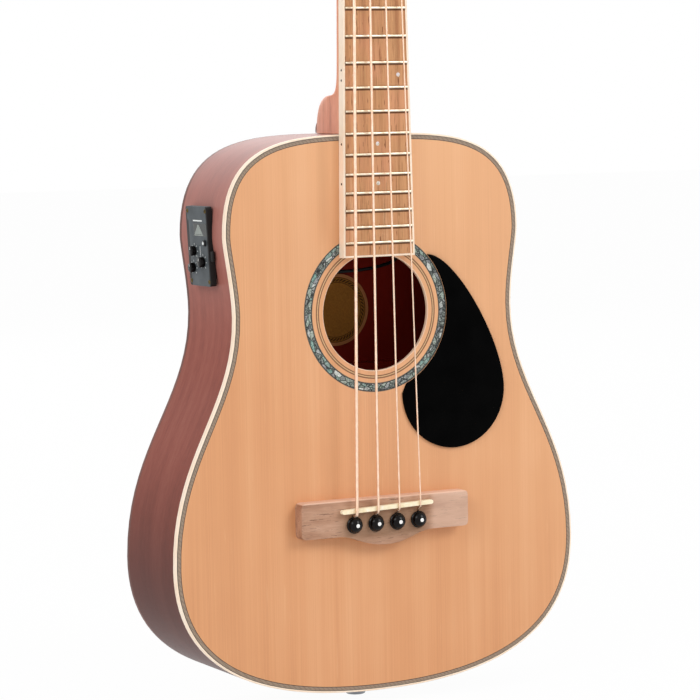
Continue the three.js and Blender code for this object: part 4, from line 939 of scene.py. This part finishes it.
bm = bmesh.new()
board = filled(bm, loop_of(bm, board_outline(BOARD_LOW, 630)))
bm.normal_update()
rim = rim_of(bm, board, BINDING)
bmesh.ops.delete(bm, geom=board, context="FACES")
slab(bm, rim, level(BOARD_TOP), level(BOARD_UNDER))
cut_off(bm, (0, 0, SCALE), (0, 0, 1), "clear_outer")
soften(bm, 0.35, lambda co: co.y < BOARD_TOP + 0.1 and co.z < SCALE - 0.1, 2)
piece("board_edging", bm, cream_plastic, "cream_plastic", "fretboard_binding")

FRETS = [SCALE / 2 ** (k / 12) for k in range(21)]
bm = bmesh.new()
for z in FRETS[1:]:
    add(bm, moved(0, -7.95, z), chip, (2 * board_half(z) - 3.2, 1.3, 1.6), 0.55, 4)
piece("fret_bars", bm, fret_metal, "steel")

FRET_DOT = [(0, -7.52), (1.45, -7.52), (1.6, -7.45), (1.6, -6), (0, -6)]
SIDE_DOT = [(0, 0.04), (0.9, 0.04), (1.0, -0.1), (1.0, -1), (0, -1)]
bm = bmesh.new()
side_marks = bmesh.new()
for k in (3, 5, 7, 9, 12, 15, 17):
    z = (FRETS[k - 1] + FRETS[k]) / 2
    for x in ((-18, 18) if k == 12 else (0,)):
        add(bm, moved(x, 0, z), turned, FRET_DOT, 24)
    for shift in ((-3.7, 3.7) if k == 12 else (0,)):
        out = moved(-board_half(z + shift), -4.4, z + shift) @ spun(90, "Z")
        add(side_marks, out, turned, SIDE_DOT, 16)
piece("fret_dots", bm, pearl_dot, "bone")
piece("side_dots", side_marks, black_gloss, "black_gloss")
dress(bone, "nut")

# A cap on the heel's end, towards the back
bm = bmesh.new()
cap = path((8.6, 272.0), [(9.4, 279), (5.4, 284.6), (0, 284.6)], steps=10)
plate(bm, 75.75, 73.2, cap + [(-x, z) for x, z in cap[-2::-1]])
soften(bm, 0.5, lambda co: co.y > 75.7, 2)
piece("heel_cap", bm, edge_wood, "mahogany")


# The tuners, drawn round the middle of their posts in the headstock's frame

POST_ASIDE = 20.5
POST_ROWS = (47, 97)
KEY_BACK, KEY_UP = 19.42, 10.5  # the key's line, from its post's middle
HEAD_BACK = 15.02  # where the cases sit, just clear of the headstock's back
CASE_FLOOR = 23.2
CASE = rounded(9.5, -9.3, 16.0, 3.0)
BUSHING = [(5.1, 16.5), (5.1, -1.8), (6.9, -1.8), (7.5, -1.5), (8, -0.9), (8, -0.02), (6.6, -0.02),
           (6.6, 16.5), (5.1, 16.5)]
CASE_SCREW = [(0, 17.5), (0.9, 17.45), (1.7, 17.2), (2.1, 16.6), (2.1, 16.4), (0, 16.4)]
POST = [(0, 16.9), (4.8, 16.9), (4.8, -2.1), (4.5, -2.5), (4.2, -3.6), (4.2, -15.4), (4.5, -16.2),
        (5.3, -16.9), (5.6, -17.6), (5.6, -18.8), (5.3, -19.5), (4.7, -19.95), (2.3, -20.0), (1.9, -19.5),
        (0, -19.3)]
RIDGES = [(radius, -7 + 14 / 3 * (k + share)) for k in range(3)
          for radius, share in ((2.5, 0.25), (3.2, 0.42), (3.2, 0.58), (2.5, 0.75))]
WORM = [(0, -7), (2.5, -7)] + RIDGES + [
    (2.4, 7), (2.4, 27.5), (2.7, 28.4), (3.8, 29), (3.8, 30.2), (3.1, 31.0), (3.1, 34.5), (0, 34.5)]


def sheet(bm, front, back, outlines, width=0.0, segments=3):
    """A plate with these outlines and a softened edge at its back."""
    own = bmesh.new()
    plate(own, front, back, *outlines)
    if width:
        soften(own, width, lambda co: co.y > back - 0.01, segments)
    joined_in(bm, own)


def tuner_case(bm):
    """The closed case with its ears, and the bushing with its washer from the front."""
    sheet(bm, HEAD_BACK, CASE_FLOOR, [CASE, rounded(7.6, -7.4, 14.1, 2.0)])
    sheet(bm, CASE_FLOOR, 26.0, [CASE], 2.2, 5)
    sheet(bm, HEAD_BACK, 16.6, [rounded(6.2, -15.3, 22.0, 6.0, 8)], 0.5)
    turned(bm, BUSHING, 40)


def tuner_post(bm):
    turned(bm, POST, 36)
    teeth = [(r * math.cos(a), r * math.sin(a))
             for k in range(28) for r, a in [((7, 5.8)[k % 2], math.pi * k / 14)]]
    sheet(bm, 16.95, 21.9, [teeth])


def tuner_key(bm):
    """The worm, its shaft and collar along the key, and an oval button with full edges."""
    add(bm, spun(-90, "Z"), turned, WORM, 28)
    own = bmesh.new()
    plate(own, -3.5, 3.5, [(40.5 + 8.5 * math.cos(math.tau * k / 48), 10.5 * math.sin(math.tau * k / 48))
                           for k in range(48)])
    soften(own, 1.3, lambda co: True, 4)
    joined_in(bm, own)


for k, (sign, up) in enumerate([(sign, up) for sign in (-1, 1) for up in POST_ROWS], 1):
    place = HEAD @ moved(sign * POST_ASIDE, 0, up)
    key_place = place @ moved(0, KEY_BACK, KEY_UP) @ spun(180 if sign < 0 else 0, "Y")
    for name, at, make, node, body in (
            ("tuner_case", place, tuner_case, "tuner_housing", "instrument"),
            ("tuner_peg", place, tuner_post, "tuner_post", f"post_{k}"),
            ("tuner_button", key_place, tuner_key, "tuner_key", f"key_{k}")):
        piece(f"{name}_{k}", made_of((at, make)), chrome, "chrome", f"{node}_{k}", body=body)
    screws = [(place @ moved(0, 0, ear), turned, CASE_SCREW, 20) for ear in (-12.3, 19.0)]
    piece(f"tuner_screws_{k}", made_of(*screws), steel, "steel")


# The strings

BALL, BALL_LONG = 2.2, 3  # the ball end's radius and length
BRIDGE_INSIDE = 6.1  # the underside of the bridge plate
POST_WAIST = 4.2  # the post's radius where a string winds on
TURNS, WOUND_TO = 2.5, 13  # the turns round a post, and how far in front of the head's face they end
FRET_HIGH, NUT_REST = 1.1, 0.6  # a fret's height, and how far over it a string leaves the nut


def string_route(string):
    """From the ball under the bridge plate, over the saddle and nut, to the post and round it."""
    radius, sign, x = string["radius"], string["sign"], string["pin_x"]
    z = PIN_UP + string["offset"]
    deep = BRIDGE_INSIDE + CLEAR + BALL
    start = z + BALL + BALL_LONG
    leave = Vector((x, -5.15, z))
    crest = Vector((x, SADDLE_TOP, saddle_z(x) - 1.6))
    fall = (leave - crest).normalized()
    clear = radius + CLEAR
    route = [Vector((x, deep, start + BALL_LONG)), Vector((x, deep, start)), Vector((x, deep, start - 0.3)),
             Vector((x, deep, z + BALL)), Vector((x, deep - 1.1, z + 0.55)), Vector((x, BRIDGE_INSIDE, z)),
             leave, crest + Vector((0, fall.z, -fall.y)) * clear, crest + Vector((0, -clear, 0)),
             crest + Vector((0, -clear, 3.2))]
    rest = BOARD_TOP - FRET_HIGH - NUT_REST - radius
    route += [Vector((string["nut_x"], rest, NUT_UP)), Vector((string["nut_x"], rest, 615))]
    row = POST_ROWS[0 if abs(string["share"]) > 0.4 else 1]
    reach = POST_WAIST + CLEAR + radius
    for k in range(61):
        done = k / 24
        angle = (math.pi if sign > 0 else 0) - sign * done * 2 * math.pi
        rise = WOUND_TO - (0.5 + string["diameter"]) * (TURNS - done)
        round_post = (sign * POST_ASIDE + reach * math.cos(angle), -rise, row + reach * math.sin(angle))
        route.append(HEAD @ Vector(round_post))
    return route + [HEAD @ Vector((sign * (POST_ASIDE + POST_WAIST / 2), -WOUND_TO, row))]


for k, string in enumerate(STRINGS, 1):
    bm = bmesh.new()
    route = string_route(string)
    sweep(bm, route, [BALL, BALL] + [string["radius"]] * (len(route) - 2))
    piece(f"bass_string_{k}", bm, wound_string, "bronze", f"string_{k}", crease=60)


# The preamp's panel in the bass side, drawn from its middle: inwards, across and up

PANEL = moved(*PANEL_MIDDLE) @ spun(-2.76, "Y")
SIDEWAYS = spun(-90, "Z")
KNOBS = {"volume": (3.7, -7.2, -11.3), "treble": (3.4, 6.5, -3.5), "bass": (3.4, 9.3, -15.8)}
KNOB_SWING = 140  # degrees either way
BUTTON = (-12.4, 2.6)  # the button's place across and up
PRINT = 0.16  # the thickness of a printed mark


def on_panel(inwards, across, up):
    return PANEL @ moved(inwards, across, up)


def panel_plate(bm, half_width, half_length, radius, front, back, width, holes=()):
    """A rounded plate facing out of the panel, with its outer edge softened."""
    own = bmesh.new()
    plate(own, front, back, rounded(half_width, -half_length, half_length, radius, 5),
          *[arc(-across, up, hole, 0, 348.75, 31) for hole, across, up in holes])
    soften(own, width, lambda co: co.y < front + 0.01 and
           max(abs(co.x) - half_width, abs(co.z) - half_length) > -radius)
    bmesh.ops.transform(own, matrix=SIDEWAYS, verts=own.verts)
    joined_in(bm, own)


def printed(inwards, across, up, width, length):
    """A thin printed stroke on the panel."""
    return on_panel(inwards, across, up), chip, (PRINT, width, length), 0.06, 1


holes = [(1.6, across, up) for _, across, up in KNOBS.values()] + [(2.4, *BUTTON)]
bm = made_of((on_panel(0, 0, 0), panel_plate, 18, 29, 2.5, 0, 4.6, 0.7, holes),
             (on_panel(1.9, -19.6, -7.0), chip, (2.6, 4.4, 8.0), 1.0, 3))
piece("control_panel", bm, dark_plastic, "dark_plastic", "preamp_panel")

bm = made_of((on_panel(0, -5.5, 12), panel_plate, 11.2, 4.7, 0.8, -0.12, 0.6, 0.15))
piece("meter_screen", bm, meter_screen, "grey_plastic", "meter_window")

SCREW_HEAD = [(0, -0.75), (0.9, -0.72), (1.45, -0.45), (1.7, 0.1), (0, 0.1)]
screws = bmesh.new()
slots = bmesh.new()
for across, up in ((15.2, 25.6), (-15.2, 25.6), (15.2, -25.6), (-15.2, -25.6)):
    head = on_panel(0, across, up) @ SIDEWAYS
    add(screws, head, turned, SCREW_HEAD, 24)
    for turn in (0.4, 0.4 + math.pi / 2):
        crossed = head @ moved(0, -0.72, 0) @ Matrix.Rotation(turn, 4, "Y")
        add(slots, crossed, chip, (1.8, 0.16, 0.35), 0.06, 1)
piece("panel_screws", screws, dark_screw, "brass")
piece("screw_slots", slots, box_plastic, "dark_plastic")

# Marks on the panel: the meter's wedge and base, a line over it, and plain ticks round the knobs
wedge = [(-6.9, -3.2), (6.9, -3.2), (0.9, 3.6), (-0.9, 3.6)]
bm = made_of((on_panel(0, -2.6, 12) @ SIDEWAYS, plate, -0.22, -0.05, wedge),
             printed(-0.14, -2.6, 8.1, 14.8, 0.8))
piece("meter_wedge", bm, print_grey, "grey_plastic")

bm = made_of(printed(-0.05, -1.6, 18.6, 15.5, 1.0), printed(-0.05, -3.2, -3.4, 0.5, 6.8))
for radius, across, up in KNOBS.values():
    for k in range(7):
        turn = spun(lerp(-KNOB_SWING, KNOB_SWING, k / 6), "X")
        tick = on_panel(-0.05, across, up) @ turn @ moved(0, 0, radius + 1.5)
        add(bm, tick, chip, (PRINT, 0.5, 1.3), 0.06, 1)
piece("panel_marks", bm, print_white, "grey_plastic")


def knob_shape(bm, radius):
    """A ribbed knob: a turned cap with grips round it."""
    turned(bm, [(0, 4.4), (1.4, 4.4), (1.4, -0.3), (radius, -0.3), (radius, -3.3), (radius - 0.2, -3.75),
                (radius - 0.7, -4.0), (0, -3.85)], 36)
    for k in range(18):
        add(bm, spun(20 * k, "Y") @ moved(radius - 0.1, -1.9, 0), chip, (0.5, 2.9, 0.45), 0.12, 1)


for name, (radius, across, up) in KNOBS.items():
    cap = made_of((on_panel(0, across, up) @ SIDEWAYS, knob_shape, radius))
    piece(f"{name}_cap", cap, black_gloss, "black_gloss", f"knob_{name}", body=f"{name}_knob")
    pointer = made_of((on_panel(-3.95, across, up + radius * 0.55), chip, (0.2, 0.5, radius * 0.6), 0.08, 1))
    piece(f"{name}_pointer", pointer, print_white, "grey_plastic", body=f"{name}_knob")

place = on_panel(0, *BUTTON) @ SIDEWAYS
bm = made_of((place, turned, [(0, 4.2), (2.2, 4.2), (2.2, -1.3), (1.9, -1.7), (1.4, -1.8), (0, -1.7)]))
piece("meter_button", bm, box_plastic, "grey_plastic", "tune_button", body="button")
bm = made_of((place, turned, [(0, -1.6), (1.35, -1.6), (1.35, -1.85), (1.1, -2.0), (0, -2.0)], 24))
piece("button_dot", bm, print_white, "grey_plastic", body="button")
dress(box_plastic, "preamp_box")

JACK_DEPTH = 44
JACK = [(0, -109), (6, -109), (6, -117.1), (9, -117.1), (9, -120.1), (6, -120.1), (6, -141.3),
        (8.7, -141.3), (9, -141.6), (9, -142.3), (8.6, -142.7), (6.2, -142.8), (6.0, -143.2),
        (6.0, -145.4), (6.6, -146.1), (7.2, -146.4), (7.4, -147.0), (7.4, -150.2), (7.1, -150.9),
        (6.6, -151.1), (3.9, -151.1), (3.35, -150.7), (3.35, -117.1), (0, -117.1)]
place = moved(0, JACK_DEPTH, 0) @ spun(90, "X")
piece("strap_jack", made_of((place, turned, JACK, 40)), chrome, "steel", "output_jack")


# The leads inside the body

def depth_at(z):
    return BACK_DEPTH - BACK_SLOPE * z


def on_route(across, depth, height):
    """A point given by its shares of the body's upper width, of its depth and of its height."""
    z = height * BODY_UP
    return Vector((across * BODY_HALF, depth * depth_at(z), z))


def eased(points, count=5):
    """A smooth line through points."""
    whole = [2 * points[0] - points[1]] + points + [2 * points[-1] - points[-2]]
    made = []
    for before, a, b, after in zip(whole, whole[1:], whole[2:], whole[3:]):
        step = (b - a).length
        into = (b - before).normalized() * step / 3
        out = (after - a).normalized() * step / 3
        made += interpolate_bezier(a, a + into, b - out, b, count + 1)[:-1]
    return made + [points[-1]]


BOX_DEEP = 26.3  # how far in the preamp's box reaches
BATTERY_UP, BATTERY_DEEP, BATTERY_LONG = 224, 17.5, 48.5
battery_depth = depth_at(BATTERY_UP) - BACK_THICK - CLEAR - BATTERY_DEEP / 2
battery_end = (60, battery_depth, BATTERY_UP - BATTERY_LONG / 2 - CLEAR)
# Each lead's start, the way it leaves and how far, its entry at the preamp's box, and its route
LEADS = {
    "battery": (battery_end, (0, 0, -1), 5, (5.2, 8.5),
                [(0.461, 0.759, 0.67), (0.329, 0.692, 0.634), (0, 0.653, 0.619), (-0.412, 0.629, 0.634),
                 (-0.626, 0.583, 0.692)]),
    "pickup": ((-34, -5.3, saddle_z(-34)), (0, 1, 0), 16.7, (-6.8, -12.5),
               [(-0.329, 0.256, 0.037), (-0.444, 0.295, 0.147), (-0.658, 0.314, 0.339),
                (-0.733, 0.347, 0.516), (-0.733, 0.389, 0.611)]),
    "jack": ((0, JACK_DEPTH, -108.7), (0, 0, 1), 5, (7.2, -17.5),
             [(-0.165, 0.494, -0.357), (-0.543, 0.522, -0.331), (-0.905, 0.563, -0.221), (-0.955, 0.602, 0),
              (-0.782, 0.622, 0.258), (-0.757, 0.619, 0.516), (-0.749, 0.602, 0.611)]),
}
for name, (place, way, stub, (across, up), shares) in LEADS.items():
    start = Vector(place)
    leaving = start + Vector(way) * stub
    points = [start, start.lerp(leaving, 0.75), leaving] + [on_route(*share) for share in shares]
    points += [PANEL @ Vector((BOX_DEEP + 5, across, up)), PANEL @ Vector((BOX_DEEP, across, up))]
    line = eased(points)
    bm = bmesh.new()
    sweep(bm, line, [1.3] * len(line))
    piece(f"{name}_wire", bm, lead_rubber, "black_gloss", f"{name}_lead", crease=60)


# Floor, light and background

def light_rays(finish):
    """1 where the background is seen directly, in a reflection or through glass."""
    seen, glossy, through = (finish.node("LightPath", {}, {}, f"Is {ray} Ray")
                             for ray in ("Camera", "Glossy", "Transmission"))
    return seen.math("MAXIMUM", glossy.math("MAXIMUM", through))


ground = Finish("pale_floor", 0.0, Roughness=1.0)
ground.wear(Base_Color=ground.ramp(ground.noise(0.002), (0.3, "#f4f4f4"), (0.7, "#f8f8f8")))
glow = ground.node("Emission", {}, {"Color": (1, 1, 1, 1), "Strength": 1.0})
matt = Signal(ground, ground.shader.outputs[0])
shown = ground.node("MixShader", {}, {0: light_rays(ground) * 0.97, 1: matt, 2: glow})
ground.tree.links.new(shown.socket, ground.tree.nodes["Material Output"].inputs["Surface"])

bm = bmesh.new()
bmesh.ops.create_grid(bm, x_segments=8, y_segments=8, size=12,
                      matrix=moved(0, 0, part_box("output_jack")[0].z - 0.0006))
mesh = bpy.data.meshes.new("floor")
bm.to_mesh(mesh)
bm.free()
mesh.materials.append(ground.material)
floor = bpy.data.objects.new("floor", mesh)
scene.collection.objects.link(floor)

world = scene.world or bpy.data.worlds.new("world")
scene.world = world
world.use_nodes = True


class Surround(Finish):
    """The world's own nodes, written like a finish."""

    def __init__(self, world):
        self.tree = world.node_tree
        self.shader = self.tree.nodes["Background"]


sky = Surround(world)
SKY_LIGHT = 0.55
sky.wear(Color=(1, 1, 1, 1), Strength=light_rays(sky) * (1 - SKY_LIGHT) + SKY_LIGHT)


def lamp(name, place, aim, size, power):
    light = bpy.data.lights.new(name, "AREA")
    light.shape = "DISK"
    light.size = size
    light.energy = power
    made = bpy.data.objects.new(name, light)
    made.location = place
    made.rotation_euler = (Vector(aim) - Vector(place)).to_track_quat("-Z", "Y").to_euler()
    scene.collection.objects.link(made)


lamp("key_light", (1.9, -2.6, 1.5), (0, 0, -0.35), 1.8, 51)
lamp("side_light", (-2.6, -1.4, 1.3), (0, 0, -0.4), 1.8, 34)
lamp("back_light", (0.4, 2.8, 1.2), (0, 0, -0.5), 3.2, 30)
